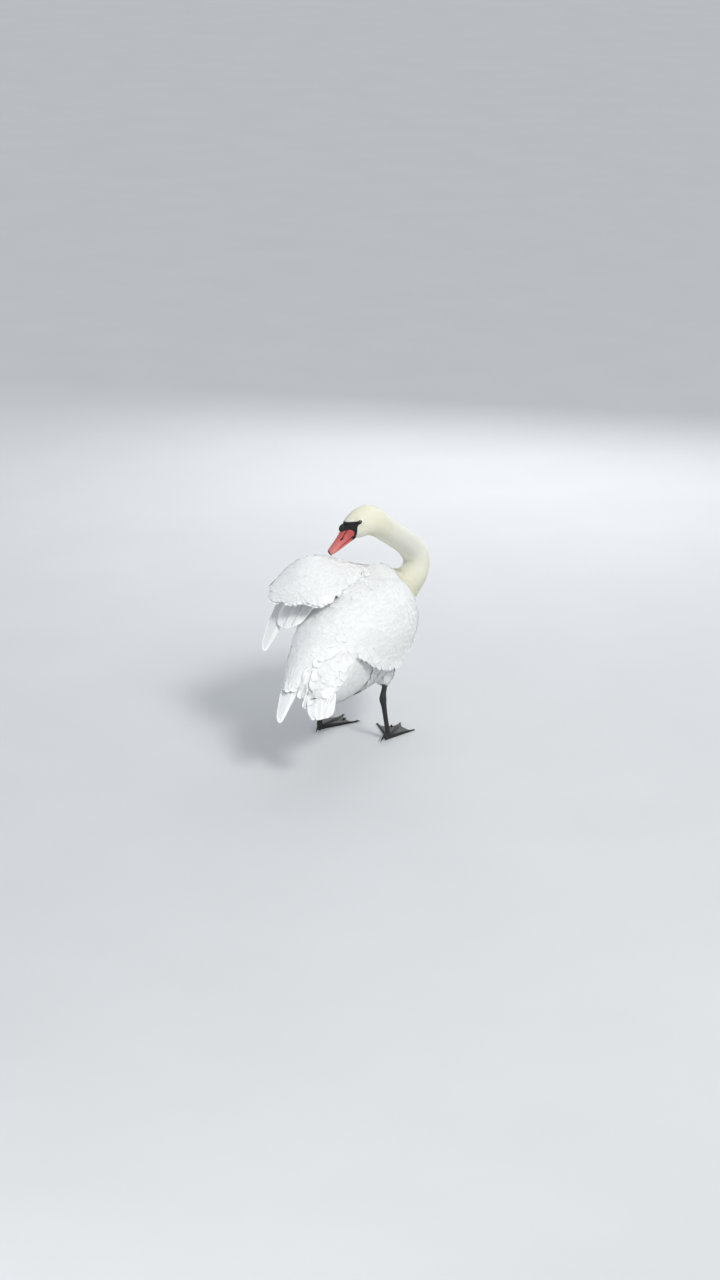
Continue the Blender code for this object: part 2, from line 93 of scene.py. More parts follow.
class SwanPlumage(bpy.types.PropertyGroup):
    face_feather: FloatProperty(
        name="Face feathers", description="Length of the smallest feathers, at the bill",
        default=0.0055, unit="LENGTH",
    )
    neck_feather: FloatProperty(
        name="Neck feathers", description="Length of the feathers halfway down the neck",
        default=0.015, unit="LENGTH",
    )
    breast_feather: FloatProperty(
        name="Breast feathers", description="Length of the feathers on the breast and belly",
        default=0.042, unit="LENGTH",
    )
    back_feather: FloatProperty(
        name="Back feathers", description="Length of the feathers on the back and flanks",
        default=0.060, unit="LENGTH",
    )
    primary_count: IntProperty(
        name="Primaries", description="Long feathers in each folded wing tip", default=7, min=2
    )
    secondary_count: IntProperty(
        name="Secondaries", description="Feathers under the raised wing", default=9, min=2
    )
    tail_count: IntProperty(name="Tail feathers", description="Stiff feathers in the tail", default=15, min=2)


class SwanColours(bpy.types.PropertyGroup):
    white: FloatVectorProperty(
        name="White", description="Clean plumage",
        default=(0.90, 0.91, 0.91), subtype="COLOR", min=0, max=1,
    )
    cream: FloatVectorProperty(
        name="Cream", description="Stained plumage on the head and neck",
        default=(0.84, 0.81, 0.57), subtype="COLOR", min=0, max=1,
    )
    orange: FloatVectorProperty(
        name="Bill", description="Orange-red of the bill",
        default=(0.52, 0.085, 0.078), subtype="COLOR", min=0, max=1,
    )
    black: FloatVectorProperty(
        name="Black skin", description="Legs, knob and face",
        default=(0.010, 0.0095, 0.010), subtype="COLOR", min=0, max=1,
    )
    floor: FloatVectorProperty(
        name="Floor", description="Pale floor",
        default=(0.50, 0.51, 0.52), subtype="COLOR", min=0, max=1,
    )


# ---------------------------------------------------------------- small helpers


def unit(vectors):
    """Vectors scaled to length one."""
    return vectors / np.maximum(np.linalg.norm(vectors, axis=-1, keepdims=True), 1e-12)


def dot(first, second):
    """Dot products of rows, as a column."""
    return (first * second).sum(-1, keepdims=True)


def points_of(name):
    """The vertices of a CAD node."""
    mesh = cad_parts[name].data
    flat = np.empty(len(mesh.vertices) * 3)
    mesh.vertices.foreach_get("co", flat)
    return flat.reshape(-1, 3)


def new_object(name, mesh, material, slot, *nodes):
    """An object that rides on the bird and stands for the CAD nodes named."""
    mesh.materials.append(material)
    made = bpy.data.objects.new(name, mesh)
    bpy.context.scene.collection.objects.link(made)
    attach(made, "root")
    if nodes:
        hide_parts(*nodes)
    return made


def from_bmesh(name, bm, material, slot, *nodes):
    """An object from a closed bmesh, shaded smooth."""
    bmesh.ops.recalc_face_normals(bm, faces=bm.faces[:])
    mesh = bpy.data.meshes.new(name)
    bm.to_mesh(mesh)
    bm.free()
    mesh.shade_smooth()
    return new_object(name, mesh, material, slot, *nodes)


@cache
def bill_ways():
    """The bill's forward, top and left-hand directions."""
    forward = unit(np.array(BILL_FORWARD))
    top = unit(np.array(BILL_TOP) - forward * (np.array(BILL_TOP) @ forward))
    return forward, top, np.cross(top, forward)


def face_places(points):
    """Where points lie beside the bill's root: forward of it, up from it, and to the bird's left."""
    return np.stack([(points - BILL_ROOT) @ way for way in bill_ways()], -1)


def eye_place(name):
    """Centre and radius of an eye, and the direction it looks in."""
    low, high = (np.array(corner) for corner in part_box(name))
    forward, top, left = bill_ways()
    side = 1 if name == "eye_left" else -1
    gaze = unit(left * side + top * EYES_UP + forward * EYES_FORWARD)
    return (low + high) / 2, (high - low).max() / 2, gaze


# ---------------------------------------------------------------- materials


def principled(name):
    """A new material, with its node tree and Principled shader."""
    material = bpy.data.materials.new(name)
    material.use_nodes = True
    return material, material.node_tree, material.node_tree.nodes["Principled BSDF"]


def link(tree, start, end):
    """Joins an output to an input."""
    tree.links.new(start, end)


def feed(tree, value, socket):
    """Gives an input the value of an output, or a constant."""
    if isinstance(value, bpy.types.NodeSocket):
        link(tree, value, socket)
    else:
        socket.default_value = value


def bump(tree, height, shader, strength, distance):
    """Feeds a height to a shader's normal."""
    node = tree.nodes.new("ShaderNodeBump")
    node.inputs["Strength"].default_value = strength
    node.inputs["Distance"].default_value = distance
    link(tree, height, node.inputs["Height"])
    link(tree, node.outputs["Normal"], shader.inputs["Normal"])


def mix_colours(tree, factor, first, second):
    """A mix of two colours by a factor."""
    node = tree.nodes.new("ShaderNodeMix")
    node.data_type = "RGBA"
    feed(tree, factor, node.inputs["Factor"])
    feed(tree, first, node.inputs["A"])
    feed(tree, second, node.inputs["B"])
    return node.outputs["Result"]


def scaled(tree, colour, factor):
    """A colour times a factor."""
    node = tree.nodes.new("ShaderNodeVectorMath")
    node.operation = "SCALE"
    feed(tree, colour, node.inputs[0])
    feed(tree, factor, node.inputs["Scale"])
    return node.outputs["Vector"]


def ramp(tree, value, low, high, start=0.0):
    """Climbs from start to one while a value goes from low to high."""
    node = tree.nodes.new("ShaderNodeMapRange")
    node.inputs["From Min"].default_value = low
    node.inputs["From Max"].default_value = high
    feed(tree, start, node.inputs["To Min"])
    link(tree, value, node.inputs["Value"])
    return node.outputs["Result"]


def object_space(tree):
    """Places in the object's own space."""
    return tree.nodes.new("ShaderNodeTexCoord").outputs["Object"]


def noise(tree, scale, detail=2):
    """Cloudy noise about one half."""
    node = tree.nodes.new("ShaderNodeTexNoise")
    link(tree, object_space(tree), node.inputs["Vector"])
    feed(tree, scale, node.inputs["Scale"])
    node.inputs["Detail"].default_value = detail
    return node.outputs["Fac"]


def attribute(tree, name):
    """A number stored on the mesh."""
    node = tree.nodes.new("ShaderNodeAttribute")
    node.attribute_name = name
    return node.outputs["Fac"]


def calculate(tree, operation, *values):
    """A Math node on sockets or numbers."""
    node = tree.nodes.new("ShaderNodeMath")
    node.operation = operation
    for value, socket in zip(values, node.inputs):
        feed(tree, value, socket)
    return node.outputs[0]


def node_group(name, inputs, outputs):
    """A new shader node group with its sockets, and its start and end nodes."""
    group = bpy.data.node_groups.new(name, "ShaderNodeTree")
    for label, kind in inputs:
        group.interface.new_socket(label, in_out="INPUT", socket_type="NodeSocket" + kind)
    for label, kind in outputs:
        group.interface.new_socket(label, in_out="OUTPUT", socket_type="NodeSocket" + kind)
    return group, group.nodes.new("NodeGroupInput").outputs, group.nodes.new("NodeGroupOutput").inputs


def place_group(tree, name, build, **values):
    """Puts a shared node group in a material, built on its first use. Values are sockets or constants."""
    node = tree.nodes.new("ShaderNodeGroup")
    node.node_tree = bpy.data.node_groups.get(name) or build(name)
    for label, value in values.items():
        feed(tree, value, node.inputs[label])
    return node.outputs


def grain_group(name):
    """Fine mottling of a colour, and the same as a height, for skin, horn and floor."""
    kinds = (("Scale", "Float"), ("Colour", "Color"), ("Darker", "Float"))
    group, given, made = node_group(name, kinds, (("Colour", "Color"), ("Height", "Float")))
    mottles = noise(group, given["Scale"], 5)
    shade = ramp(group, mottles, 0.3, 0.7, given["Darker"])
    link(group, scaled(group, given["Colour"], shade), made["Colour"])
    link(group, mottles, made["Height"])
    return group


def grain(tree, scale, colour, darker):
    """A mottled colour in a material. darker is the shade of its darkest mottles."""
    return place_group(tree, "fine_grain", grain_group, Scale=scale, Colour=(*colour, 1), Darker=darker)


def stain_group(name):
    """Plumage colour of the skin and of every feather: white, with cream where the stain lies."""
    kinds = (("White", "Color"), ("Cream", "Color"), ("Stain", "Float"))
    group, given, made = node_group(name, kinds, (("Colour", "Color"),))
    uneven = calculate(group, "MULTIPLY_ADD", noise(group, 38, 4), 0.9, 0.55)
    stain = calculate(group, "MINIMUM", calculate(group, "MULTIPLY", given["Stain"], uneven), 1.0)
    link(group, mix_colours(group, stain, given["White"], given["Cream"]), made["Colour"])
    return group


def stained_white(tree, colours):
    """The stained plumage colour in a material."""
    white, cream = (*colours.white, 1), (*colours.cream, 1)
    stain = attribute(tree, "stain")
    return place_group(tree, "stained_white", stain_group, White=white, Cream=cream, Stain=stain)["Colour"]


def barbs_and_painted_shade_group(name):
    """Fine barbs and a shaft as a height, and painted shade that darkens a feather towards its covered root,
    where the feathers over it would shade it.
    """
    kinds = (("Along", "Float"), ("Across", "Float"), ("Barbs", "Float"))
    group, given, made = node_group(name, kinds, (("Height", "Float"), ("Painted shade", "Float")))
    # Painted shade: a colour factor from 0.9 at the root up to 1 past 0.7 of the length stands in for the
    # shadow of the feathers lying over the root
    link(group, ramp(group, given["Along"], 0.15, 0.70, 0.90), made["Painted shade"])
    off_shaft = calculate(group, "ABSOLUTE", given["Across"])
    lines = calculate(group, "SUBTRACT", given["Along"], calculate(group, "MULTIPLY", off_shaft, 0.18))
    turns = calculate(group, "MULTIPLY", calculate(group, "MULTIPLY", lines, given["Barbs"]), 2 * math.pi)
    wave = calculate(group, "SINE", turns)
    shaft = calculate(group, "LESS_THAN", off_shaft, 0.06)
    height = calculate(group, "MULTIPLY_ADD", wave, 0.25, calculate(group, "MULTIPLY", shaft, 1.2))
    link(group, height, made["Height"])
    return group


def feather_material(colours, name="plumage", barbs=60.0):
    """White vanes with fine barbs and a raised shaft, and painted shade that darkens them a little towards
    the covered root. Light goes some way through them."""
    material, tree, shader = principled(name)
    along, across = attribute(tree, "along"), attribute(tree, "across")
    vane = place_group(tree, "barbs", barbs_and_painted_shade_group, Along=along, Across=across, Barbs=barbs)
    # The plumage colour times the painted shade at the covered root
    link(tree, scaled(tree, stained_white(tree, colours), vane["Painted shade"]), shader.inputs["Base Color"])
    bump(tree, vane["Height"], shader, 0.25, 0.0003)
    shader.inputs["Roughness"].default_value = 0.65
    shader.inputs["Specular IOR Level"].default_value = 0.25
    shader.inputs["Sheen Weight"].default_value = 0.2
    shader.inputs["Sheen Roughness"].default_value = 0.5
    shader.inputs["Subsurface Weight"].default_value = 0.35
    shader.inputs["Subsurface Radius"].default_value = (1.0, 1.0, 1.0)
    shader.inputs["Subsurface Scale"].default_value = 0.006
    return material


def skin_material(colours):
    """Skin under the coat: the plumage's own colours, and black where it is bare."""
    material, tree, shader = principled("skin")
    black = grain(tree, 900, colours.black, 0.6)
    mixed = mix_colours(tree, attribute(tree, "bare"), stained_white(tree, colours), black["Colour"])
    link(tree, mixed, shader.inputs["Base Color"])
    bump(tree, black["Height"], shader, 0.3, 0.0004)
    shader.inputs["Roughness"].default_value = 0.6
    shader.inputs["Specular IOR Level"].default_value = 0.3
    return material


WORN_PINK = (0.64, 0.27, 0.25, 1)


def horn_material(colours):
    """Orange-red bill with black edges, nostrils and nail, a little worn and wet."""
    material, tree, shader = principled("bill_horn")
    orange = grain(tree, 260, colours.orange, 0.72)
    worn = calculate(tree, "MULTIPLY", attribute(tree, "pink"), noise(tree, 55))
    blushed = mix_colours(tree, worn, orange["Colour"], WORN_PINK)
    black = grain(tree, 500, colours.black, 0.6)["Colour"]
    link(tree, mix_colours(tree, attribute(tree, "black"), blushed, black), shader.inputs["Base Color"])
    bump(tree, orange["Height"], shader, 0.25, 0.0005)
    shader.inputs["Roughness"].default_value = 0.42
    shader.inputs["Specular IOR Level"].default_value = 0.35
    shader.inputs["Coat Weight"].default_value = 0.08
    return material


def scales_group(name):
    """Small scales with paler grooves between them."""
    kinds = (("Scale", "Float"), ("Dark", "Color"), ("Groove", "Color"))
    group, given, made = node_group(name, kinds, (("Colour", "Color"), ("Height", "Float")))
    cells = group.nodes.new("ShaderNodeTexVoronoi")
    cells.feature = "DISTANCE_TO_EDGE"
    link(group, given["Scale"], cells.inputs["Scale"])
    link(group, object_space(group), cells.inputs["Vector"])
    on_scale = ramp(group, cells.outputs["Distance"], 0.0, 0.22)
    link(group, mix_colours(group, on_scale, given["Groove"], given["Dark"]), made["Colour"])
    link(group, on_scale, made["Height"])
    return group


def black_skin_material(colours, name, scale, roughness, groove=0.030, relief=0.7):
    """Black skin in small scales, with grooves a little paler than it."""
    material, tree, shader = principled(name)
    dark = grain(tree, 150, colours.black, 0.5)["Colour"]
    pale = (groove, groove * 0.93, groove * 0.90, 1)
    scales = place_group(tree, "scales", scales_group, Scale=scale, Dark=dark, Groove=pale)
    link(tree, scales["Colour"], shader.inputs["Base Color"])
    bump(tree, scales["Height"], shader, relief, 0.0006)
    shader.inputs["Roughness"].default_value = roughness
    shader.inputs["Specular IOR Level"].default_value = 0.35
    return material


# ---------------------------------------------------------------- the skin

WELD = 0.00002  # vertices nearer than this are one
TAIL_FLESH = 0.42  # share of the tail's length that has flesh in it
FACE_REACH = 0.062  # the bare face and the eyes lie within this distance of the bill's root
NODE_REACH = 0.012  # how far outside a node's box its skin may lie
THIN_SHARE = 0.28  # the skin sinks no deeper than this share of the flesh's thickness
THICK = 0.04  # flesh is thick enough for any coat from here on
EYE_SUNK = 0.74  # how far the eye's centre lies under the skin, as a share of its radius
EYE_RIM = (0.0070, 0.0140)  # the skin is flat round the eye up to the first reach, and itself from the second
RUMP = (0.02, 0.14)  # between these places along the bird the trunk's feathers turn towards the tail
EYE_PATCH = 0.0074  # from the eye's centre to the first feathers
BARE_UNDER_COAT = 0.0016  # how far the black reaches under the first feathers
BARE_BLUR = 0.0010  # how far the black takes to fade

# How surely the feathers run to the tip of a wing or of the tail: flesh node, whose tip, share
LIE_TO_TIP = (
    ("wing_right", "wing_right", 0.90), ("wing_left", "wing_left", 0.35), ("tail", "tail", 0.90),
    ("trunk", "tail", 0.85),
)
# The black skin of the face seen from the side: forward of the bill's root and up from it, from over the
# knob along the brow to the eye, and back under it down to the gape
LORES = (
    (0.016, 0.034), (-0.0115, 0.0345), (-0.0150, 0.0285), (-0.0245, 0.0222), (-0.0340, 0.0150),
    (-0.0400, 0.0125), (-0.0400, 0.0040), (-0.0330, 0.0055), (-0.0262, 0.0032), (-0.0210, -0.0020),
    (-0.0150, -0.0082), (-0.0085, -0.0135), (0.0030, -0.0165), (0.016, -0.0165),
)
# How strongly the plumage is stained by its distance from the bill: distances, then strengths
STAIN = (
    (0.00, 0.03, 0.06, 0.10, 0.17, 0.26, 0.33, 0.42, 0.50, 0.56),
    (0.10, 0.30, 0.62, 0.66, 0.42, 0.34, 0.50, 0.98, 0.62, 0.10),
)


def merged_flesh():
    """A joined copy of the flesh nodes, as one mesh object to be worked on. Only the tail's root is flesh."""
    bm = bmesh.new()
    low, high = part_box("tail")
    bm.from_mesh(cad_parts["tail"].data)
    bmesh.ops.remove_doubles(bm, verts=bm.verts[:], dist=WELD)
    cut = low[1] + (high[1] - low[1]) * TAIL_FLESH
    geom = bm.verts[:] + bm.edges[:] + bm.faces[:]
    bmesh.ops.bisect_plane(bm, geom=geom, plane_co=(0, cut, 0), plane_no=(0, 1, 0), clear_outer=True)
    bmesh.ops.holes_fill(bm, edges=[edge for edge in bm.edges if edge.is_boundary], sides=0)
    for name in FLESH[:-1]:
        bm.from_mesh(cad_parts[name].data)
    bmesh.ops.remove_doubles(bm, verts=bm.verts[:], dist=WELD)
    mesh = bpy.data.meshes.new("skin")
    bm.to_mesh(mesh)
    bm.free()
    made = bpy.data.objects.new("skin", mesh)
    bpy.context.scene.collection.objects.link(made)
    return made


def fuse(piece, voxel):
    """Remeshes a piece into one closed surface that spans the hairline gaps."""
    bpy.ops.object.select_all(action="DESELECT")
    bpy.context.view_layer.objects.active = piece
    piece.select_set(True)
    piece.data.remesh_voxel_size = voxel
    piece.data.use_remesh_fix_poles = False
    bpy.ops.object.voxel_remesh()


def refine_face(mesh):
    """Cuts the skin's faces finer about the bill and the eyes, where small shapes show."""
    forward = bill_ways()[0]
    bm = bmesh.new()
    bm.from_mesh(mesh)
    near = set()
    for vert in bm.verts:
        away = np.array(vert.co) - BILL_ROOT
        if np.linalg.norm(away) < FACE_REACH and away @ forward > -0.055:
            near.add(vert)
    edges = [edge for edge in bm.edges if edge.verts[0] in near and edge.verts[1] in near]
    bmesh.ops.subdivide_edges(bm, edges=edges, cuts=2, use_grid_fill=True)
    bmesh.ops.triangulate(bm, faces=[face for face in bm.faces if len(face.verts) > 4])
    bm.to_mesh(mesh)
    bm.free()


def mesh_arrays(mesh):
    """Vertices, their normals, and edges of a mesh."""
    points = np.empty(len(mesh.vertices) * 3)
    mesh.vertices.foreach_get("co", points)
    normals = np.empty(len(mesh.vertices) * 3)
    mesh.vertex_normals.foreach_get("vector", normals)
    edges = np.empty(len(mesh.edges) * 2, dtype=np.int64)
    mesh.edges.foreach_get("vertices", edges)
    return points.reshape(-1, 3), normals.reshape(-1, 3), edges.reshape(-1, 2)


def averaged(values, edges, rounds, keep=0.5):
    """Values of every vertex, drawn towards the mean of its neighbours."""
    count = np.bincount(edges.ravel(), minlength=len(values))[:, None]
    for _ in range(rounds):
        total = np.zeros_like(values)
        for axis in range(values.shape[1]):
            total[:, axis] = np.bincount(
                edges.ravel(), weights=values[edges[:, ::-1].ravel(), axis], minlength=len(values)
            )
        values = values * keep + total / np.maximum(count, 1) * (1 - keep)
    return values


def nearest_nodes(points):
    """The index in FLESH of the node whose surface is nearest to each point."""
    best = np.full(len(points), 1e9)
    found = np.zeros(len(points), dtype=np.int64)
    for index, name in enumerate(FLESH):
        low, high = (np.array(corner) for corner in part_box(name))
        inside = np.nonzero(((points > low - NODE_REACH) & (points < high + NODE_REACH)).all(1))[0]
        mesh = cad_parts[name].data
        faces = [tuple(face.vertices) for face in mesh.polygons]
        tree = BVHTree.FromPolygons([vert.co for vert in mesh.vertices], faces)
        for i in inside:
            away = tree.find_nearest(points[i], 0.02)[3]
            if away is not None and away < best[i]:
                best[i], found[i] = away, index
    return found


def sink(mesh, tracts, sizes):
    """Draws the skin in by the coat's depth, less where the flesh is thin and more where it tucks in behind
    the bill. Round the eyes it is pushed out flat."""
    points, normals, edges = mesh_arrays(mesh)
    tree = BVHTree.FromPolygons(points.tolist(), [tuple(face.vertices) for face in mesh.polygons])
    depth_of = {"head": sizes.coat_head, **{name: sizes.coat_neck for name in NECK}}
    wanted = np.array([depth_of.get(name, sizes.coat_body) for name in FLESH])[tracts]
    beside = face_places(points)
    at_bill = (tracts == FLESH.index("head")) & (np.linalg.norm(beside, axis=1) < 0.045)
    wanted += np.where(at_bill, np.clip(1 + beside[:, 0] / 0.014, 0, 1.2) ** 1.5 * 0.0055, 0)
    depth = np.empty(len(points))
    for i, (point, normal) in enumerate(zip(points.tolist(), normals.tolist())):
        inward = -Vector(normal)
        thickness = tree.ray_cast(Vector(point) + inward * 0.0003, inward, THICK)[3]
        depth[i] = min(wanted[i], THIN_SHARE * (thickness or THICK))
    points = points - normals * averaged(depth[:, None], edges, 6)
    for name in EYES:
        centre, radius, gaze = eye_place(name)
        height = (points - centre) @ gaze
        aside = np.linalg.norm(points - centre - height[:, None] * gaze, axis=1)
        share = np.clip((EYE_RIM[1] - aside) / (EYE_RIM[1] - EYE_RIM[0]), 0, 1) * (height > -0.006)
        points += gaze * ((EYE_SUNK * radius - height) * share**2 * (3 - 2 * share))[:, None]
    mesh.vertices.foreach_set("co", points.ravel())
    mesh.update()


def distance_from(points, edges, starts):
    """Each vertex's distance over the surface from the start vertices, by neighbours of neighbours."""
    near = [[] for _ in points]
    for a, b in edges.tolist():
        near[a].append(b)
        near[b].append(a)
    wide = [tuple({far for step in steps for far in near[step]} | set(steps)) for steps in near]
    place = points.tolist()
    distance = [math.inf] * len(place)
    queue = [(0.0, int(start)) for start in starts]
    for _, start in queue:
        distance[start] = 0.0
    while queue:
        so_far, here = heapq.heappop(queue)
        if so_far > distance[here]:
            continue
        for there in wide[here]:
            total = so_far + math.dist(place[here], place[there])
            if total < distance[there]:
                distance[there] = total
                heapq.heappush(queue, (total, there))
    return np.array(distance)


def uphill(points, normals, edges, values):
    """The direction along the surface in which a value grows, smoothed."""
    ends = np.concatenate((edges, edges[:, ::-1]))
    step = points[ends[:, 1]] - points[ends[:, 0]]
    rise = (values[ends[:, 1]] - values[ends[:, 0]])[:, None]
    pull = step * rise / np.maximum(dot(step, step), 1e-12)
    slope = np.stack(
        [np.bincount(ends[:, 0], weights=pull[:, axis], minlength=len(points)) for axis in range(3)], axis=1
    )
    for _ in range(5):
        slope = unit(slope - normals * dot(slope, normals))
        slope = averaged(slope, edges, 4)
    return unit(slope - normals * dot(slope, normals))


def wing_lie(points, lie, tracts):
    """On the wings, the tail and the rump the feathers run to the wing's or the tail's own tip."""
    for name, tip_of, share in LIE_TO_TIP:
        chosen = tracts == FLESH.index(name)
        cloud = points_of(tip_of)
        tip = cloud[cloud[:, 1] > cloud[:, 1].max() - 0.02].mean(0)
        to_tip = unit(tip + BACKWARD * 0.08 - points[chosen])
        amount = np.full((chosen.sum(), 1), share)
        if name == "trunk":
            amount *= np.clip((points[chosen, 1:2] - RUMP[0]) / (RUMP[1] - RUMP[0]), 0, 1)
        lie[chosen] = unit(lie[chosen] * (1 - amount) + to_tip * amount)
    return lie


def outside_of(places, corners):
    """Distance of flat places outside a closed outline, negative inside it."""
    nearest = np.full(len(places), 1e9)
    inside = np.zeros(len(places), dtype=bool)
    for start, end in zip(corners, np.roll(corners, -1, axis=0)):
        side = end - start
        share = np.clip((places - start) @ side / (side @ side), 0, 1)
        nearest = np.minimum(nearest, np.linalg.norm(places - start - share[:, None] * side, axis=1))
        spans = (start[1] > places[:, 1]) != (end[1] > places[:, 1])
        crossing = start[0] + (places[:, 1] - start[1]) * side[0] / (side[1] or 1e-12)
        inside ^= spans & (places[:, 0] < crossing)
    return np.where(inside, -nearest, nearest)


def bare_face(points):
    """How far each point lies outside the face's bare skin, and outside the eyes' lids."""
    places = face_places(points)
    near = np.linalg.norm(places, axis=1) < FACE_REACH
    lores = np.where(near, outside_of(places[:, :2], np.array(LORES)), 0.1)
    gaps = [np.linalg.norm(points - eye_place(name)[0], axis=1) for name in EYES]
    return lores, np.minimum(*gaps) - EYE_PATCH


def stain_of(distance, edges, tracts):
    """How strongly the plumage is stained: the crown, the nape and most of all the neck's base."""
    along = np.interp(distance, *STAIN)
    neck = np.isin(tracts, [FLESH.index(name) for name in (*NECK, "head")]).astype(float)
    return along * averaged(neck[:, None], edges, 40)[:, 0] ** 2


def store(mesh, name, values, kind="FLOAT", domain="POINT"):
    """Keeps numbers or vectors on a mesh."""
    field = mesh.attributes.new(name, kind, domain)
    field.data.foreach_set("vector" if kind == "FLOAT_VECTOR" else "value", values.ravel())


def store_normals(mesh, normals, edges, tracts):
    """Keeps calm normals, smoothed over a feather's width, and how crisp the skin's edges are."""
    calm = averaged(normals, edges, 16)
    store(mesh, "crisp", 1 - np.linalg.norm(calm, axis=1))
    head = (tracts == FLESH.index("head"))[:, None]
    store(mesh, "calm", unit(np.where(head, averaged(normals, edges, 4), calm)), "FLOAT_VECTOR")


def unwrap(piece):
    """Unwraps a piece by the directions its own faces look in, to the bake map."""
    piece.data.uv_layers.new(name="OFBake")
    bpy.ops.object.select_all(action="DESELECT")
    bpy.context.view_layer.objects.active = piece
    piece.select_set(True)
    bpy.ops.object.mode_set(mode="EDIT")
    bpy.ops.mesh.select_all(action="SELECT")
    bpy.ops.uv.smart_project(angle_limit=math.radians(66), island_margin=0.002)
    bpy.ops.object.mode_set(mode="OBJECT")


class SWAN_OT_skin(bpy.types.Operator):
    """One skin over the flesh, with the lie of the coat kept on it"""

    bl_idname = "swan.skin"
    bl_label = "Skin"

    def execute(self, context):
        sizes = context.scene.swan_skin
        skin = merged_flesh()
        fuse(skin, sizes.grain)
        mesh = skin.data
        points, _, edges = mesh_arrays(mesh)
        mesh.vertices.foreach_set("co", averaged(points, edges, 7).ravel())
        mesh.update()
        refine_face(mesh)
        points = mesh_arrays(mesh)[0]
        tracts = nearest_nodes(points)
        sink(mesh, tracts, sizes)
        points, normals, edges = mesh_arrays(mesh)
        starts = np.argsort(np.linalg.norm(points - BILL_ROOT, axis=1))[:40]
        distance = distance_from(points, edges, starts)
        distance[np.isinf(distance)] = 1.0
        distance = averaged(distance[:, None], edges, 12)[:, 0]
        lie = averaged(wing_lie(points, uphill(points, normals, edges, distance), tracts), edges, 10)
        store(mesh, "lie", unit(lie - normals * dot(lie, normals)), "FLOAT_VECTOR")
        store(mesh, "from_bill", distance)
        store(mesh, "tract", tracts, "INT")
        lores, lid_gap = bare_face(points)
        store(mesh, "outside_bare", np.minimum(lores, lid_gap))
        black = 0.5 - np.minimum(lores - BARE_UNDER_COAT, lid_gap) / BARE_BLUR
        store(mesh, "bare", np.clip(black, 0, 1))
        store(mesh, "stain", stain_of(distance, edges, tracts))
        store_normals(mesh, normals, edges, tracts)
        mesh.shade_smooth()
        unwrap(skin)
        mesh.materials.append(skin_material(context.scene.swan_colours))
        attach(skin, "root")
        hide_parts(*FLESH)
        return {"FINISHED"}


# ---------------------------------------------------------------- feathers over the skin

PATCH = 0.003  # size of one feather's patch on the bake map
CRISP = 0.30  # how crisp an edge of the skin is before no feather roots on it
CRISP_PASSED = 0.35  # how crisp an edge is before a feather that comes to it leaves the skin
CLOSEST = 0.0012  # least distance between two feathers' roots
CLINGS = 0.004  # a feather nearer to the skin than this doesn't count as free


class Coat:
    """The skin as arrays and a search tree: where feathers root and which way they lie."""

    def __init__(self, skin):
        mesh = skin.data
        self.points, self.normals, _ = mesh_arrays(mesh)
        corners = np.empty(len(mesh.loops), dtype=np.int64)
        mesh.loops.foreach_get("vertex_index", corners)
        sides = np.array([face.loop_total for face in mesh.polygons])
        starts = np.concatenate(([0], np.cumsum(sides)[:-1]))
        offsets = np.minimum(np.arange(4)[None, :], sides[:, None] - 1)
        loops = starts[:, None] + offsets
        self.quads = corners[loops]
        layer = np.empty(len(mesh.loops) * 2)
        mesh.uv_layers["OFBake"].uv.foreach_get("vector", layer)
        self.uv = layer.reshape(-1, 2)[loops].mean(1)
        faces = [quad if quad[2] != quad[3] else quad[:3] for quad in self.quads.tolist()]
        self.tree = BVHTree.FromPolygons(self.points.tolist(), faces)
        self.centres = self.points[self.quads].mean(1)
        self.face_normals = unit(self.face_mean(mesh, "calm", 3))
        self.lie = unit(self.face_mean(mesh, "lie", 3))
        self.distance = self.face_mean(mesh, "from_bill", 1)[:, 0]
        self.outside_bare = self.face_mean(mesh, "outside_bare", 1)[:, 0]
        self.stain = self.face_mean(mesh, "stain", 1)[:, 0]
        self.crisp = self.face_mean(mesh, "crisp", 1)[:, 0]
        tract = np.empty(len(mesh.vertices), dtype=np.int32)
        mesh.attributes["tract"].data.foreach_get("value", tract)
        self.tract = tract[self.quads[:, 0]]
        a, b, c, d = (self.points[self.quads[:, k]] for k in range(4))
        self.areas = 0.5 * np.linalg.norm(np.cross(c - a, d - b), axis=1)

    def face_mean(self, mesh, name, width):
        """A vertex field averaged over each face."""
        values = np.empty(len(mesh.vertices) * width)
        mesh.attributes[name].data.foreach_get("vector" if width == 3 else "value", values)
        return values.reshape(-1, width)[self.quads].mean(1)

    def on(self, *names):
        """Which faces belong to the named nodes, without the crisp edges."""
        return np.isin(self.tract, [FLESH.index(name) for name in names]) & (self.crisp < CRISP)

    def outer(self, x, z):
        """Which faces look away from a line that runs along the bird at x and z."""
        away = self.centres - np.array((x, 0, z))
        away[:, 1] = 0
        return dot(self.face_normals, unit(away))[:, 0] > 0

    def nearest(self, places, reach=0.03):
        """Nearest points of the skin and their faces, -1 where none is in reach."""
        near, faces = places.copy(), np.full(len(places), -1)
        for i, place in enumerate(places.tolist()):
            found, _, face, _ = self.tree.find_nearest(place, reach)
            if found is not None:
                near[i], faces[i] = found, face
        return near, faces


coats = {}


def coat_of():
    """The coat's surface, read from the skin once."""
    if "skin" not in coats:
        coats["skin"] = Coat(bpy.data.objects["skin"])
    return coats["skin"]


def scatter(coat, faces, spacing, seed):
    """Root places over the chosen faces, no two nearer than the spacing there. Returns places and faces."""
    rng = np.random.default_rng(seed)
    wanted = coat.areas[faces] / spacing[faces] ** 2
    count = int(wanted.sum() * 7)
    chosen = rng.choice(faces, size=count, p=wanted / wanted.sum())
    u, v = rng.random((2, count, 1))
    a, b, c, d = (coat.points[coat.quads[chosen, k]] for k in range(4))
    places = (a * (1 - u) + b * u) * (1 - v) + (d * (1 - u) + c * u) * v
    tree = KDTree(count)
    for i, place in enumerate(places.tolist()):
        tree.insert(place, i)
    tree.balance()
    free = np.ones(count, dtype=bool)
    kept = []
    for i in range(count):
        if not free[i]:
            continue
        kept.append(i)
        for _, other, _ in tree.find_range(places[i], spacing[chosen[i]]):
            free[other] = False
    return places[kept], chosen[kept]


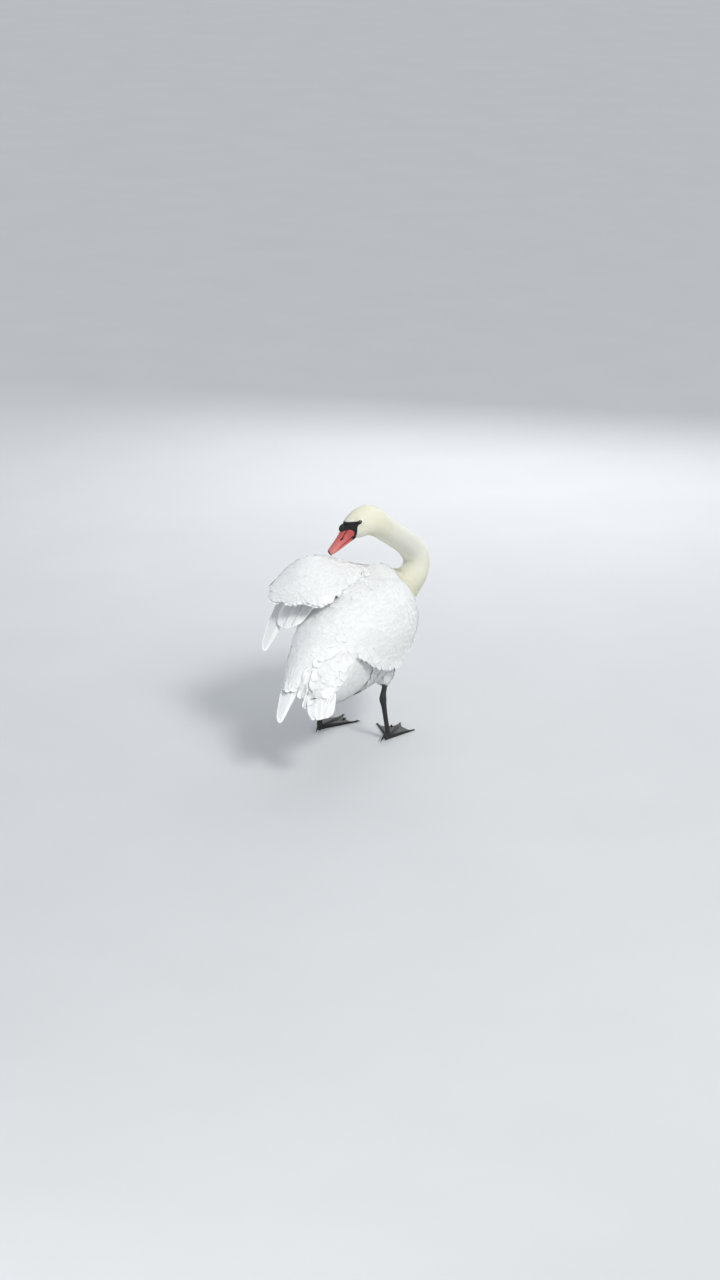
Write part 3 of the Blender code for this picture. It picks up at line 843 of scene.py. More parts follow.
class Vane:
    """The shape that a feather's sections share: stations along it and points round each section."""

    def __init__(self, stations, widths, section):
        self.stations = np.array(stations)
        self.widths = np.array(widths)
        self.section = np.array(section)  # across, height


TUFT = Vane((0, 0.35, 0.75, 1.0), (0.6, 1.0, 0.80, 0.22), ((-1, 0), (1, 0), (0, 1)))
SMALL = Vane(
    (0, 0.30, 0.60, 0.82, 0.94, 1.0),
    (0.45, 0.92, 1.0, 0.86, 0.58, 0.24),
    ((-1, 0), (0, -0.4), (1, 0), (0, 1)),
)
LARGE = Vane(
    (0, 0.2, 0.42, 0.64, 0.80, 0.90, 0.965, 1.0),
    (0.30, 0.75, 0.95, 1.0, 0.94, 0.76, 0.48, 0.20),
    ((-1, 0), (-0.5, -0.1), (0, -0.5), (0.5, -0.1), (1, 0), (0.5, 0.5), (0, 1.0), (-0.5, 0.5)),
)


def follow(coat, places, faces, ways, lengths, stations, droop=None):
    """Walks every feather's midrib over the skin. Returns its points, upward normals, directions, and how
    much of its length hangs free past an edge. Past the edge it bends towards droop."""
    place = places.copy()
    up = coat.face_normals[faces].copy()
    way = unit(ways - up * dot(ways, up))
    points, ups, directions = [place], [up], [way]
    free = np.zeros(len(places))
    loose = np.zeros(len(places), dtype=bool)
    for share in np.diff(stations):
        stride = lengths[:, None] * share
        guess = place + way * stride
        near, found = coat.nearest(guess)
        normal = coat.face_normals[found]
        gap = np.linalg.norm(near - guess, axis=1)
        turned = (dot(normal, up)[:, 0] < 0.5) | (found < 0) | (coat.crisp[found] > CRISP_PASSED)
        loose |= turned | (gap > 0.6 * stride[:, 0] + 0.002)
        held = ~loose[:, None]
        place = np.where(held, near, guess)
        bent = way if droop is None else unit(way * 0.6 + droop * 0.4)
        up = np.where(held, unit(up * 0.4 + normal * 0.6), unit(up - bent * dot(up, bent)))
        way = np.where(held, unit(way * 0.55 + coat.lie[found] * 0.45), bent)
        way = unit(way - up * dot(way, up))
        free += np.where(loose & ((gap > CLINGS) | (found < 0)), stride[:, 0], 0)
        points.append(place)
        ups.append(up)
        directions.append(way)
    return np.stack(points, 1), np.stack(ups, 1), np.stack(directions, 1), free


def sweep(points, ups, ways, widths, thickness, vane, camber, rng, ragged=0.05, taper=1.0):
    """Solid vanes along the midribs, as vertices, quads and the values kept on each vertex."""
    count, rows, sides = len(points), len(vane.stations), len(vane.section)
    side = unit(np.cross(ways, ups))
    across = vane.section[:, 0]
    uneven = rng.uniform(1 - ragged, 1 + ragged, (count, rows))
    half = widths[:, None] * (vane.widths * taper)[None, :] * uneven
    offset = half[:, :, None] * across[None, None, :]
    arch = camber * widths[:, None, None] * (1 - across**2)[None, None, :] * vane.widths[None, :, None]
    height = thickness[:, None, None] * vane.section[None, None, :, 1] + arch
    verts = points[:, :, None] + side[:, :, None] * offset[..., None] + ups[:, :, None] * height[..., None]
    ring = np.arange(sides)
    quads = []
    for row in range(rows - 1):
        low, high = row * sides + ring, (row + 1) * sides + ring
        quads.append(np.stack((low, high, np.roll(high, -1), np.roll(low, -1)), 1))
    quads = np.concatenate(quads)
    every = quads[None] + (np.arange(count) * rows * sides)[:, None, None]
    along = np.broadcast_to(vane.stations[None, :, None], (count, rows, sides))
    sideways = np.broadcast_to(across[None, None, :], (count, rows, sides))
    return verts.reshape(-1, 3), every.reshape(-1, 4), along.ravel(), sideways.ravel(), rows * sides


def vane_mesh(name, parts, sides):
    """A mesh from swept vanes, with end caps, the bake map and the values its material reads."""
    verts, quads, along, across, root_uv, stain, per_vane = parts
    count = len(verts) // per_vane
    starts = (np.arange(count) * per_vane)[:, None]
    first = starts + np.arange(sides)[None, :]
    last = starts + per_vane - 1 - np.arange(sides)[None, :]
    loops = np.concatenate((quads.ravel(), first.ravel(), last.ravel()))
    totals = np.concatenate((np.full(len(quads), 4), np.full(2 * count, sides)))
    begins = np.concatenate(([0], np.cumsum(totals)[:-1]))
    mesh = bpy.data.meshes.new(name)
    mesh.vertices.add(len(verts))
    mesh.vertices.foreach_set("co", verts.ravel())
    mesh.loops.add(len(loops))
    mesh.loops.foreach_set("vertex_index", loops)
    mesh.polygons.add(len(totals))
    mesh.polygons.foreach_set("loop_start", begins)
    mesh.polygons.foreach_set("loop_total", totals)
    mesh.update()
    mesh.validate()
    edges = mesh_arrays(mesh)[2]
    margin = np.abs(across) > 0.99
    store(mesh, "sharp_edge", margin[edges].all(1), "BOOLEAN", "EDGE")
    store(mesh, "along", along)
    store(mesh, "across", across)
    store(mesh, "stain", np.repeat(stain, per_vane))
    layer = mesh.uv_layers.new(name="OFBake")
    corner = np.empty(len(mesh.loops), dtype=np.int64)
    mesh.loops.foreach_get("vertex_index", corner)
    patch = np.stack((across, along * 2 - 1), 1) * PATCH / 2 + np.repeat(root_uv, per_vane, axis=0)
    layer.uv.foreach_set("vector", patch[corner].ravel())
    mesh.shade_smooth()
    return mesh


def grow(
    coat, name, places, faces, lengths, widths, lifts, vane, seed, sway=0.10, thin=0.005, camber=0.022,
    max_free=0.010, droop=None,
):
    """Feathers that root at the places and lie along the coat, as one mesh. No feather hangs free past an
    edge for much more than max_free."""
    rng = np.random.default_rng(seed)
    count = len(places)
    up = coat.face_normals[faces]
    way = coat.lie[faces]
    turn = rng.normal(0, sway, (count, 1))
    way = unit(way + np.cross(up, way) * turn)
    lengths = lengths * rng.uniform(0.88, 1.12, count)
    points, ups, ways, free = follow(coat, places, faces, way, lengths, vane.stations, droop)
    over = free > max_free
    if over.any():
        shorter = np.where(over, np.maximum(lengths - free + max_free, lengths * 0.25), lengths)
        widths = widths * (shorter / lengths) ** 0.5
        points, ups, ways, free = follow(coat, places, faces, way, shorter, vane.stations, droop)
        lengths = shorter
    rise = (vane.stations**0.85)[None, :] * lifts[:, None] * rng.uniform(0.9, 1.1, (count, 1))
    rooted = np.minimum(0.0010, 0.05 * lengths) + 0.15 * lifts
    rise = rise - rooted[:, None] * (1 - vane.stations)[None, :] ** 2
    points = points + ups * rise[..., None]
    thickness = np.maximum(widths * thin * 2, 0.00012)
    verts, quads, along, across, per_vane = sweep(points, ups, ways, widths / 2, thickness, vane, camber, rng)
    parts = (verts, quads, along, across, coat.uv[faces], coat.stain[faces], per_vane)
    return vane_mesh(name, parts, len(vane.section))


def tract(context, name, chosen, length, spread, width, lift, vane, seed, **more):
    """Grows a tract over the chosen faces. length and lift are values per face, spread and width shares of
    the length."""
    coat = coat_of()
    name = "feathers_" + name
    places, faces = scatter(coat, np.nonzero(chosen)[0], np.maximum(length * spread, CLOSEST), seed)
    sizes = length[faces]
    mesh = grow(coat, name, places, faces, sizes, sizes * width, lift[faces], vane, seed, **more)
    new_object(name, mesh, plumage(context), "white_plumage")


def plumage(context):
    """The shared feather material, made once."""
    return bpy.data.materials.get("plumage") or feather_material(context.scene.swan_colours)


def contour_lengths(coat, sizes):
    """Length of a contour feather at each face, growing from the bill to the back."""
    return np.interp(
        coat.distance,
        (0.0, 0.04, 0.12, 0.28, 0.45, 0.58, 0.75),
        (
            sizes.face_feather, sizes.face_feather * 1.25, sizes.neck_feather * 0.7, sizes.neck_feather,
            sizes.neck_feather * 1.6, sizes.breast_feather, sizes.back_feather,
        ),
    )


# Feathers of the head and the neck are plump tufts that stand up a little
TUFT_WAYS = {"thin": 0.014, "camber": 0.05}
TUFT_LIFT = 0.13  # how far a tuft's tip stands up, as a share of its length


class SWAN_OT_head_feathers(bpy.types.Operator):
    """Velvety feathers of the head"""

    bl_idname = "swan.head_feathers"
    bl_label = "Head feathers"

    def execute(self, context):
        coat = coat_of()
        length = contour_lengths(coat, context.scene.swan_plumage)
        chosen = coat.on("head") & (coat.outside_bare > 0)
        lift = length * TUFT_LIFT
        tract(context, "head", chosen, length, 0.22, 0.30, lift, TUFT, 11, max_free=0.002, **TUFT_WAYS)
        return {"FINISHED"}


class SWAN_OT_neck_feathers(bpy.types.Operator):
    """Short soft feathers of the neck"""

    bl_idname = "swan.neck_feathers"
    bl_label = "Neck feathers"

    def execute(self, context):
        coat = coat_of()
        length = contour_lengths(coat, context.scene.swan_plumage)
        lift = length * TUFT_LIFT
        for seed, name in enumerate(NECK, start=21):
            tract(context, name, coat.on(name), length, 0.155, 0.27, lift, TUFT, seed, **TUFT_WAYS)
        return {"FINISHED"}


BREAST_TO = -0.10  # the breast's feathers grow in front of here
FLANK_FROM = 0.03  # from here backwards the flank feathers hang long and loose
COVERTS_FROM = 0.262  # the tail's coverts grow from here to the next
COVERTS_TO = 0.300
TAIL_WAY = np.array((0.0, 0.86, -0.51))  # the way the tail points
FLANK_STRAND = 0.078
THIGH_FEATHER = 0.026
TAIL_COVERT = 0.062


class SWAN_OT_body_feathers(bpy.types.Operator):
    """Contour feathers of the breast, back, belly, flanks and thighs"""

    bl_idname = "swan.body_feathers"
    bl_label = "Body feathers"

    def execute(self, context):
        coat = coat_of()
        length = contour_lengths(coat, context.scene.swan_plumage)
        lift = length * 0.075
        place, rise = coat.centres[:, 1], coat.face_normals[:, 2]
        trunk = coat.on("trunk") & (place < COVERTS_FROM)
        front = place < BREAST_TO
        loose = (place > FLANK_FROM) & (rise < 0.45)
        under = rise < -0.2
        tract(context, "breast", trunk & front, length, 0.17, 0.46, lift, SMALL, 31)
        middle = trunk & ~front & ~loose
        tract(context, "belly", middle & under, length * 0.85, 0.15, 0.46, lift, SMALL, 32)
        tract(context, "back", middle & ~under, length, 0.17, 0.46, lift, SMALL, 33)
        strand = np.full_like(length, FLANK_STRAND)
        tract(
            context, "flank", trunk & loose, strand, 0.105, 0.19, strand * 0.034, LARGE, 35,
            sway=0.12, max_free=0.018,
        )
        small = np.full_like(length, THIGH_FEATHER)
        thighs = coat.on("thigh_left", "thigh_right")
        tract(context, "thighs", thighs, small, 0.20, 0.42, lift * 0.5, SMALL, 34, max_free=0.006)
        return {"FINISHED"}


class SWAN_OT_tail_coverts(bpy.types.Operator):
    """Coverts over and under the tail"""

    bl_idname = "swan.tail_coverts"
    bl_label = "Tail coverts"

    def execute(self, context):
        coat = coat_of()
        place = coat.centres[:, 1]
        chosen = coat.on("tail", "trunk") & (place > COVERTS_FROM) & (place < COVERTS_TO)
        chosen &= coat.face_normals @ BACKWARD < 0.60
        length = np.full_like(place, TAIL_COVERT)
        tract(
            context, "tail_coverts", chosen, length, 0.11, 0.24, length * 0.055, LARGE, 41,
            sway=0.16, max_free=0.040, droop=TAIL_WAY,
        )
        return {"FINISHED"}


class Wing:
    """How one wing is feathered: a line that runs along the bird inside the wing (x, z), the feathers'
    lengths by how far behind its front edge they root, the length from which they are long ones, and the
    spread, width, free length and seed of its small and long ones, and the seed of its inner ones."""

    def __init__(self, inside, stops, lengths, long_from, small, long, inner_seed):
        self.inside = inside
        self.stops = stops
        self.lengths = lengths
        self.long_from = long_from
        self.small = small
        self.long = long
        self.inner_seed = inner_seed


WINGS = {
    "wing_right": Wing(
        (0.0, 0.26), (0.0, 0.06, 0.15, 0.28, 0.40, 0.50), (0.022, 0.038, 0.058, 0.080, 0.100, 0.090),
        0.056, (0.19, 0.50, 0.004, 51), (0.14, 0.30, 0.016, 52), 55,
    ),
    "wing_left": Wing(
        (0.035, 0.33), (0.0, 0.06, 0.15, 0.28, 0.40), (0.020, 0.032, 0.046, 0.060, 0.064),
        0.047, (0.19, 0.50, 0.003, 53), (0.15, 0.34, 0.006, 54), 56,
    ),
}
WING_LIFTS = ((0.02, 0.06, 0.10), (0.0018, 0.0024, 0.0030))  # how far tips stand up, by the feather's length
INNER_FEATHER = 0.030  # on the side that the wing turns to the body


class SWAN_OT_wing_feathers(bpy.types.Operator):
    """Coverts, scapulars and tertials of both wings"""

    bl_idname = "swan.wing_feathers"
    bl_label = "Wing feathers"

    def execute(self, context):
        coat = coat_of()
        for name, wing in WINGS.items():
            outer = coat.on(name) & coat.outer(*wing.inside)
            length = np.interp(coat.centres[:, 1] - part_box(name)[0][1], wing.stops, wing.lengths)
            lift = np.interp(length, *WING_LIFTS)
            small = length < wing.long_from
            for part, chosen, vane, (spread, width, free, seed) in (
                ("_front", outer & small, SMALL, wing.small), ("_rear", outer & ~small, LARGE, wing.long),
            ):
                tract(context, name + part, chosen, length, spread, width, lift, vane, seed, max_free=free)
            inner = np.full_like(length, INNER_FEATHER)
            chosen = coat.on(name) & ~outer
            tract(context, name + "_inner", chosen, inner, 0.22, 0.45, inner * 0.05, SMALL, wing.inner_seed)
        return {"FINISHED"}


# ---------------------------------------------------------------- flight feathers


def quill_widths(stations, round_from):
    """Widths of a flight feather: it opens from the shaft and ends in a rounded tip."""
    opening = np.minimum(1.0, 0.22 + 2.2 * stations)
    past = np.clip((stations - round_from) / (1 - round_from), 0, 1)
    return np.maximum(opening * np.sqrt(1 - past**2), 0.08)


QUILL_STATIONS = 1 - (1 - np.arange(26) / 25) ** 1.5  # closer together towards the tip
QUILL_SECTION = (  # a thin blade with a low shaft along its middle
    (-1, 0), (-0.66, -0.20), (-0.10, -0.25), (0, -0.8), (0.10, -0.25), (0.66, -0.20),
    (1, 0), (0.66, 0.20), (0.10, 0.25), (0, 0.8), (-0.10, 0.25), (-0.66, 0.20),
)
QUILL = Vane(QUILL_STATIONS, quill_widths(QUILL_STATIONS, 0.80), QUILL_SECTION)
QUILL_THICKNESS = 0.0008
STACK_HEIGHT = 0.0045  # from the lowest primary of a closed wing tip to the highest
PARTS = 9  # a CAD plate's middle line is read at so many places
SMOOTH = 45  # how many of its 200 steps a smoothed line is averaged over


def spine_of(name):
    """The middle line of a long CAD plate: its places, half widths, and side and upward directions."""
    points = points_of(name)
    centre = points.mean(0)
    _, _, axes = np.linalg.svd(points - centre, full_matrices=False)
    long, wide = axes[0], axes[1]
    if long @ TAIL_WAY < 0:
        long = -long
    up = np.cross(wide, long)
    if up[2] < 0:
        up, wide = -up, -wide
    along = (points - centre) @ long
    marks = np.linspace(along.min(), along.max(), PARTS + 1)
    places, halves = [], []
    for low, high in zip(marks, marks[1:]):
        here = points[(along >= low - 0.012) & (along <= high + 0.012)]
        offset = (here - centre) @ wide
        middle = (offset.max() + offset.min()) / 2
        height = ((here - centre) @ up).mean()
        places.append(centre + long * (low + high) / 2 + wide * middle + up * height)
        halves.append((offset.max() - offset.min()) / 2)
    places = np.array(places)
    places[0] += long * (marks[0] - marks[1]) / 2
    places[-1] += long * (marks[1] - marks[0]) / 2
    steps = np.linspace(-1, 1, PARTS)
    bend = np.polynomial.polynomial.polyfit(steps, places, 2)
    places = np.polynomial.polynomial.polyval(steps, bend).T
    return places, np.array(halves), unit(wide), unit(up)


def resampled(points, stations):
    """A smooth line read at shares of its length."""
    steps = np.linalg.norm(np.diff(points, axis=0), axis=1)
    at = np.concatenate(([0], np.cumsum(steps))) / steps.sum()
    fine = np.linspace(0, 1, 200)
    line = np.stack([np.interp(fine, at, points[:, axis]) for axis in range(3)], 1)
    kernel = np.hanning(SMOOTH) / np.hanning(SMOOTH).sum()
    more = SMOOTH // 2
    before = 2 * line[:1] - line[more:0:-1]
    after = 2 * line[-1:] - line[-2:-2 - more:-1]
    padded = np.concatenate((before, line, after))
    line = np.stack([np.convolve(padded[:, axis], kernel, mode="valid") for axis in range(3)], 1)
    return np.stack([np.interp(stations, fine, line[:, axis]) for axis in range(3)], 1)


def quills(context, name, paths, up, widths, seed, *nodes, camber=0.06, taper=1.0):
    """Flight feathers along their own lines. taper narrows them all at each station."""
    rng = np.random.default_rng(seed)
    coat = coat_of()
    points = np.stack([resampled(np.array(path), QUILL.stations) for path in paths])
    ways = unit(np.gradient(points, axis=1))
    up = np.broadcast_to(up, points.shape)
    up = unit(up - ways * dot(ways, up))
    widths = np.array(widths)
    thickness = np.full(len(widths), QUILL_THICKNESS)
    swept = sweep(points, up, ways, widths / 2, thickness, QUILL, camber, rng, 0.012, taper)
    verts, quads, along, across, per_vane = swept
    _, faces = coat.nearest(points[:, 0], 0.3)
    parts = (verts, quads, along, across, coat.uv[faces], np.zeros(len(widths)), per_vane)
    mesh = vane_mesh(name, parts, len(QUILL.section))
    new_object(name, mesh, quill_material(context), "white_plumage", *nodes)


def quill_material(context):
    """Flight feathers, with more barbs than the small ones."""
    return bpy.data.materials.get("quill") or feather_material(context.scene.swan_colours, "quill", 170.0)


def stack(context, name, node, seed, width, reach_back):
    """Primaries closed over one another along a CAD plate. Each next one lies higher, further to the right,
    and ends sooner. width is a share of the plate's width."""
    count = context.scene.swan_plumage.primary_count
    places, halves, wide, up = spine_of(node)
    wide = wide * (-1 if wide[0] > 0 else 1)
    broad = halves.max()
    paths = []
    for share in np.arange(count) / (count - 1):
        sideways = (share - 0.5) * (1 - width) * 2
        path = places + wide * (sideways * halves)[:, None] + up * (share - 0.5) * STACK_HEIGHT
        reach = 1 - reach_back * share**1.2
        paths.append(path[0] + (path - path[0]) * reach)
    taper = np.interp(QUILL.stations, np.linspace(0, 1, len(halves)), halves) / broad
    taper = np.maximum(taper, QUILL.stations**0.5)
    quills(context, name, paths, up, [broad * 2 * width] * count, seed, node, taper=taper)


def fan(context, name, node, count, seed, overlap, round_tips=0.06):
    """Feathers side by side across a CAD plate, each over the next. The outer ones are shorter by
    round_tips."""
    places, halves, wide, up = spine_of(node)
    inner = halves * (1 - overlap / count * 0.5)
    paths = []
    for i in range(count):
        sideways = (i / (count - 1) - 0.5) * 2
        path = places + wide * (sideways * inner)[:, None] + up * 0.0007 * (i % 3)
        shorter = 1 - round_tips * abs(sideways) ** 2
        paths.append(path[0] + (path - path[0]) * shorter)
    widths = [halves.max() * 2 / count * overlap] * count
    quills(context, name, paths, unit(up + wide * 0.10), widths, seed, node)


class SWAN_OT_flight_feathers(bpy.types.Operator):
    """Primaries of both wings and the secondaries of the raised wing"""

    bl_idname = "swan.flight_feathers"
    bl_label = "Flight feathers"

    def execute(self, context):
        stack(context, "primaries_right_vanes", "primaries_right", 61, 0.58, 0.24)
        stack(context, "primaries_left_vanes", "primaries_left", 62, 0.70, 0.18)
        count = context.scene.swan_plumage.secondary_count
        fan(context, "secondaries_left_vanes", "secondaries_left", count, 63, 2.4)
        return {"FINISHED"}


class SWAN_OT_tail_feathers(bpy.types.Operator):
    """Stiff tail feathers"""

    bl_idname = "swan.tail_feathers"
    bl_label = "Tail feathers"

    def execute(self, context):
        rng = np.random.default_rng(65)
        count = context.scene.swan_plumage.tail_count
        places, halves, wide, up = spine_of("tail")
        paths, widths = [], []
        for i in range(count):
            sideways = (i / (count - 1) - 0.5) * 2
            fanned = sideways * halves * np.linspace(0.70, 0.84 + 0.05 * rng.standard_normal(), len(halves))
            path = places + wide * fanned[:, None] + up * 0.0009 * (i % 4)
            reach = 1.01 - 0.08 * sideways**2 - 0.07 * rng.random()
            paths.append(path[0] + (path - path[0]) * reach)
            widths.append(halves.max() * 2 / count * rng.uniform(2.3, 3.0))
        quills(context, "tail_vanes", paths, up, widths, 64, camber=0.035)
        return {"FINISHED"}


# ---------------------------------------------------------------- bill

# Half widths, and heights above and below the middle line, by share of the bill's length
UPPER_SHARES = (-0.32, -0.22, -0.15, -0.08, 0.0, 0.06, 0.12, 0.30, 0.50, 0.72, 0.88, 0.95, 0.985, 1.0)
UPPER_HALVES = (
    0.0262, 0.0270, 0.0258, 0.0238, 0.0212, 0.0197, 0.0187, 0.0166, 0.0158, 0.0160, 0.0146, 0.0114, 0.0074,
    0.0030,
)
UPPER_RISES = (
    0.0240, 0.0250, 0.0255, 0.0250, 0.0230, 0.0205, 0.0180, 0.0143, 0.0112, 0.0088, 0.0070, 0.0058, 0.0042,
    0.0020,
)
UPPER_DROPS = (
    0.0125, 0.0125, 0.0125, 0.0124, 0.0120, 0.0116, 0.0112, 0.0098, 0.0083, 0.0065, 0.0052, 0.0054, 0.0058,
    0.0052,
)
UPPER_STARTS = -0.30  # the bill's pieces start inside the head
LOWER_SHARES = (-0.16, -0.08, 0.0, 0.12, 0.30, 0.60, 0.86, 0.93, 0.95)
LOWER_HALVES = (0.0168, 0.0176, 0.0174, 0.0162, 0.0144, 0.0130, 0.0105, 0.0068, 0.0020)
LOWER_TOPS = (0.0100, 0.0098, 0.0096, 0.0088, 0.0074, 0.0050, 0.0030, 0.0030, 0.0036)
LOWER_UNDERS = (0.0232, 0.0232, 0.0228, 0.0212, 0.0182, 0.0142, 0.0098, 0.0082, 0.0070)
LOWER_STARTS = -0.14
LOWER_ENDS = 0.95
NOSTRIL = (0.31, 0.0062, 0.080, 0.0019)  # share along, height, half length as a share, half height
NOSTRIL_DEPTH = 0.0018
NAIL_HALF = 0.0085  # half width of the hard nail at the bill's tip
# How far along the bill its black base reaches, by the height on the bill: first heights, then shares
BLACK_BASE = (
    (-0.0135, -0.0100, 0.0, 0.0080, 0.0130, 0.0165, 0.0185, 0.0200),
    (0.06, -0.07, -0.18, -0.16, -0.08, 0.06, 0.16, 0.22),
)
KNOB = (0.0108, 0.0138, 0.0098)  # its radii to the left, forward and up


def ring_edges(bm, ring):
    """The edges of a new closed ring through the given places."""
    made = bmesh.ops.create_circle(bm, segments=len(ring), radius=1.0)["verts"]
    for vert, place in zip(made, ring):
        vert.co = place
    return list({edge for vert in made for edge in vert.link_edges})


def rings_to_bmesh(rings):
    """A closed bmesh through rings of points, with capped ends."""
    bm = bmesh.new()
    loops = [ring_edges(bm, ring) for ring in rings]
    for before, after in zip(loops, loops[1:]):
        bmesh.ops.bridge_loops(bm, edges=before + after)
    bmesh.ops.holes_fill(bm, edges=loops[0] + loops[-1], sides=len(rings[0]))
    return bm


def upper_section(share, angle):
    """Across and height on the upper bill at a share of its length and an angle round it."""
    half = np.interp(share, UPPER_SHARES, UPPER_HALVES)
    rise = np.interp(share, UPPER_SHARES, UPPER_RISES)
    drop = np.interp(share, UPPER_SHARES, UPPER_DROPS)
    across, height = math.cos(angle), math.sin(angle)
    if height > 0:
        return across * half * (1 - 0.14 * height), height**0.9 * rise
    return math.copysign(abs(across) ** 0.6, across) * half, -(abs(height) ** 0.55) * drop


def nostril_depth(share, across, height, half):
    """How far the long nostril on each side is pressed in."""
    along = (share - NOSTRIL[0]) / NOSTRIL[2]
    level = (height - NOSTRIL[1]) / NOSTRIL[3]
    return NOSTRIL_DEPTH * math.exp(-(along**4) - level**2) if abs(across) > half * 0.3 else 0.0


def bill_place(share, across, height):
    """A place on the bill by its share of the length, and its distances to the left and up."""
    forward, top, left = bill_ways()
    return BILL_ROOT + forward * share * BILL_LENGTH + left * across + top * height


def bill_upper(context):
    """Upper bill with nostrils, a nail at its tip and dark cutting edges."""
    rings, sides, rows = [], 108, 130
    for i in range(rows):
        share = UPPER_STARTS + (1 - UPPER_STARTS) * (1 - (1 - i / (rows - 1)) ** 1.3)
        half = np.interp(share, UPPER_SHARES, UPPER_HALVES)
        droop = -0.0035 * max(0.0, (share - 0.90) / 0.10) ** 2
        nail = 0.0009 * math.exp(-(((share - 0.955) / 0.035) ** 4))
        ring = []
        for k in range(sides):
            across, height = upper_section(share, 2 * math.pi * k / sides)
            across -= math.copysign(nostril_depth(share, across, height, half), across)
            raised = nail * (abs(across) < NAIL_HALF) * (height > 0)
            ring.append(bill_place(share, across, height + droop + raised))
        rings.append(ring)
    made = from_bmesh("bill_upper_horn", rings_to_bmesh(rings), horn(context), "bill", "bill_upper")
    paint_bill(made.data)


def paint_bill(mesh):
    """Where the upper bill is black, and where it is worn to pink."""
    forward, height, aside = face_places(mesh_arrays(mesh)[0]).T
    share, across = forward / BILL_LENGTH, np.abs(aside)
    half = np.interp(share, UPPER_SHARES, UPPER_HALVES)
    drop = np.interp(share, UPPER_SHARES, UPPER_DROPS)
    edge = np.clip((-height - drop + 0.0016) / 0.0010, 0, 1) * (across > half * 0.70) * 0.8
    nail = np.clip((share - 0.905 - 0.02 * (across / NAIL_HALF) ** 2) / 0.022, 0, 1)
    nail = nail * np.clip((0.0105 - across) / 0.0020, 0, 1)
    slot = ((share - NOSTRIL[0]) / NOSTRIL[2]) ** 2 + ((height - NOSTRIL[1]) / NOSTRIL[3]) ** 2
    nostril = np.clip((1.3 - slot) / 0.5, 0, 1) * (across > half * 0.25)
    line = NOSTRIL[1] + 0.020 * (NOSTRIL[0] - share)
    streak = np.clip(1.3 - np.abs(height - line) / 0.0015, 0, 1) * (share < NOSTRIL[0])
    base = np.clip((np.interp(height, *BLACK_BASE) - share) / 0.032 + 0.5, 0, 1)
    store(mesh, "black", np.clip(edge + nail + nostril + streak * 0.9 + base, 0, 1))
    store(mesh, "pink", np.clip(0.25 + (share - 0.25) * 1.1, 0, 0.9))


def bill_lower(context):
    """Lower bill, tucked under the upper one."""
    rings, sides, rows = [], 40, 36
    for i in range(rows):
        share = LOWER_STARTS + (LOWER_ENDS - LOWER_STARTS) * (1 - (1 - i / (rows - 1)) ** 1.3)
        half, high, low = (
            np.interp(share, LOWER_SHARES, row) for row in (LOWER_HALVES, LOWER_TOPS, LOWER_UNDERS)
        )
        ring = []
        for k in range(sides):
            angle = 2 * math.pi * k / sides
            bulge = math.copysign(abs(math.sin(angle)) ** 0.8, math.sin(angle))
            height = -(high + low) / 2 + bulge * (low - high) / 2
            ring.append(bill_place(share, math.cos(angle) * half, height))
        rings.append(ring)
    made = from_bmesh("bill_lower_horn", rings_to_bmesh(rings), horn(context), "bill", "bill_lower")
    forward, height, _ = face_places(mesh_arrays(made.data)[0]).T
    share = forward / BILL_LENGTH
    rim = np.clip((height + np.interp(share, UPPER_SHARES, UPPER_DROPS)) / 0.0008, 0, 1)
    store(made.data, "black", np.maximum(rim, np.clip((0.07 - share) / 0.03, 0, 1)))
    store(made.data, "pink", np.clip(0.25 + (share - 0.3), 0, 0.8))


def horn(context):
    """The bill's material, made once."""
    return bpy.data.materials.get("bill_horn") or horn_material(context.scene.swan_colours)


def knob(context):
    """Black knob where the forehead meets the bill, a little lumpy."""
    forward, top, left = bill_ways()
    centre = Vector(np.mean(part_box("bill_knob"), axis=0)) + Vector(top * 0.0004 - forward * 0.0020)
    bm = bmesh.new()
    bmesh.ops.create_icosphere(bm, subdivisions=4, radius=1.0)
    turn = Matrix((left * KNOB[0], forward * KNOB[1], top * KNOB[2])).transposed().to_4x4()
    for vert in bm.verts:
        lump = 1 + 0.05 * math.sin(3.1 * vert.co.x + 1) * math.cos(2.7 * vert.co.y)
        vert.co *= lump * (1 - 0.12 * max(0.0, vert.co.y))
    bmesh.ops.transform(bm, matrix=Matrix.Translation(centre) @ turn, verts=bm.verts[:])
    material = black_skin_material(context.scene.swan_colours, "knob_skin", 1000, 0.40, 0.015, 0.3)
    from_bmesh("bill_knob_skin", bm, material, "black_skin", "bill_knob")


class SWAN_OT_bill(bpy.types.Operator):
    """Upper and lower bill and the knob"""

    bl_idname = "swan.bill"
    bl_label = "Bill"

    def execute(self, context):
        bill_upper(context)
        bill_lower(context)
        knob(context)
        return {"FINISHED"}


# ---------------------------------------------------------------- eyes

PUPIL_BLACK = (0.003, 0.003, 0.003, 1)
IRIS_BROWN = (0.045, 0.020, 0.010)
LID_SIDES = 48
LID_NARROW = 0.82  # height of the opening between the lids, as a share of its length
# Lids from their outer edge over the rim to the opening and back inside: reach across and distance from
# the eye's centre, both as shares of the eye's radius
LID_RINGS = (
    (0.84, 1.00), (0.82, 1.08), (0.77, 1.13), (0.71, 1.14), (0.66, 1.11), (0.635, 1.05), (0.65, 0.99),
    (0.80, 0.95),
)


def eye_material():
    """Wet, dark brown eye with a black pupil."""
    material, tree, shader = principled("eyeball")
    off_pupil = ramp(tree, attribute(tree, "from_pupil"), 0.42, 0.50)
    iris = grain(tree, 1500, IRIS_BROWN, 0.5)["Colour"]
    link(tree, mix_colours(tree, off_pupil, PUPIL_BLACK, iris), shader.inputs["Base Color"])
    shader.inputs["Roughness"].default_value = 0.04
    shader.inputs["Coat Weight"].default_value = 1.0
    shader.inputs["Coat Roughness"].default_value = 0.02
    return material


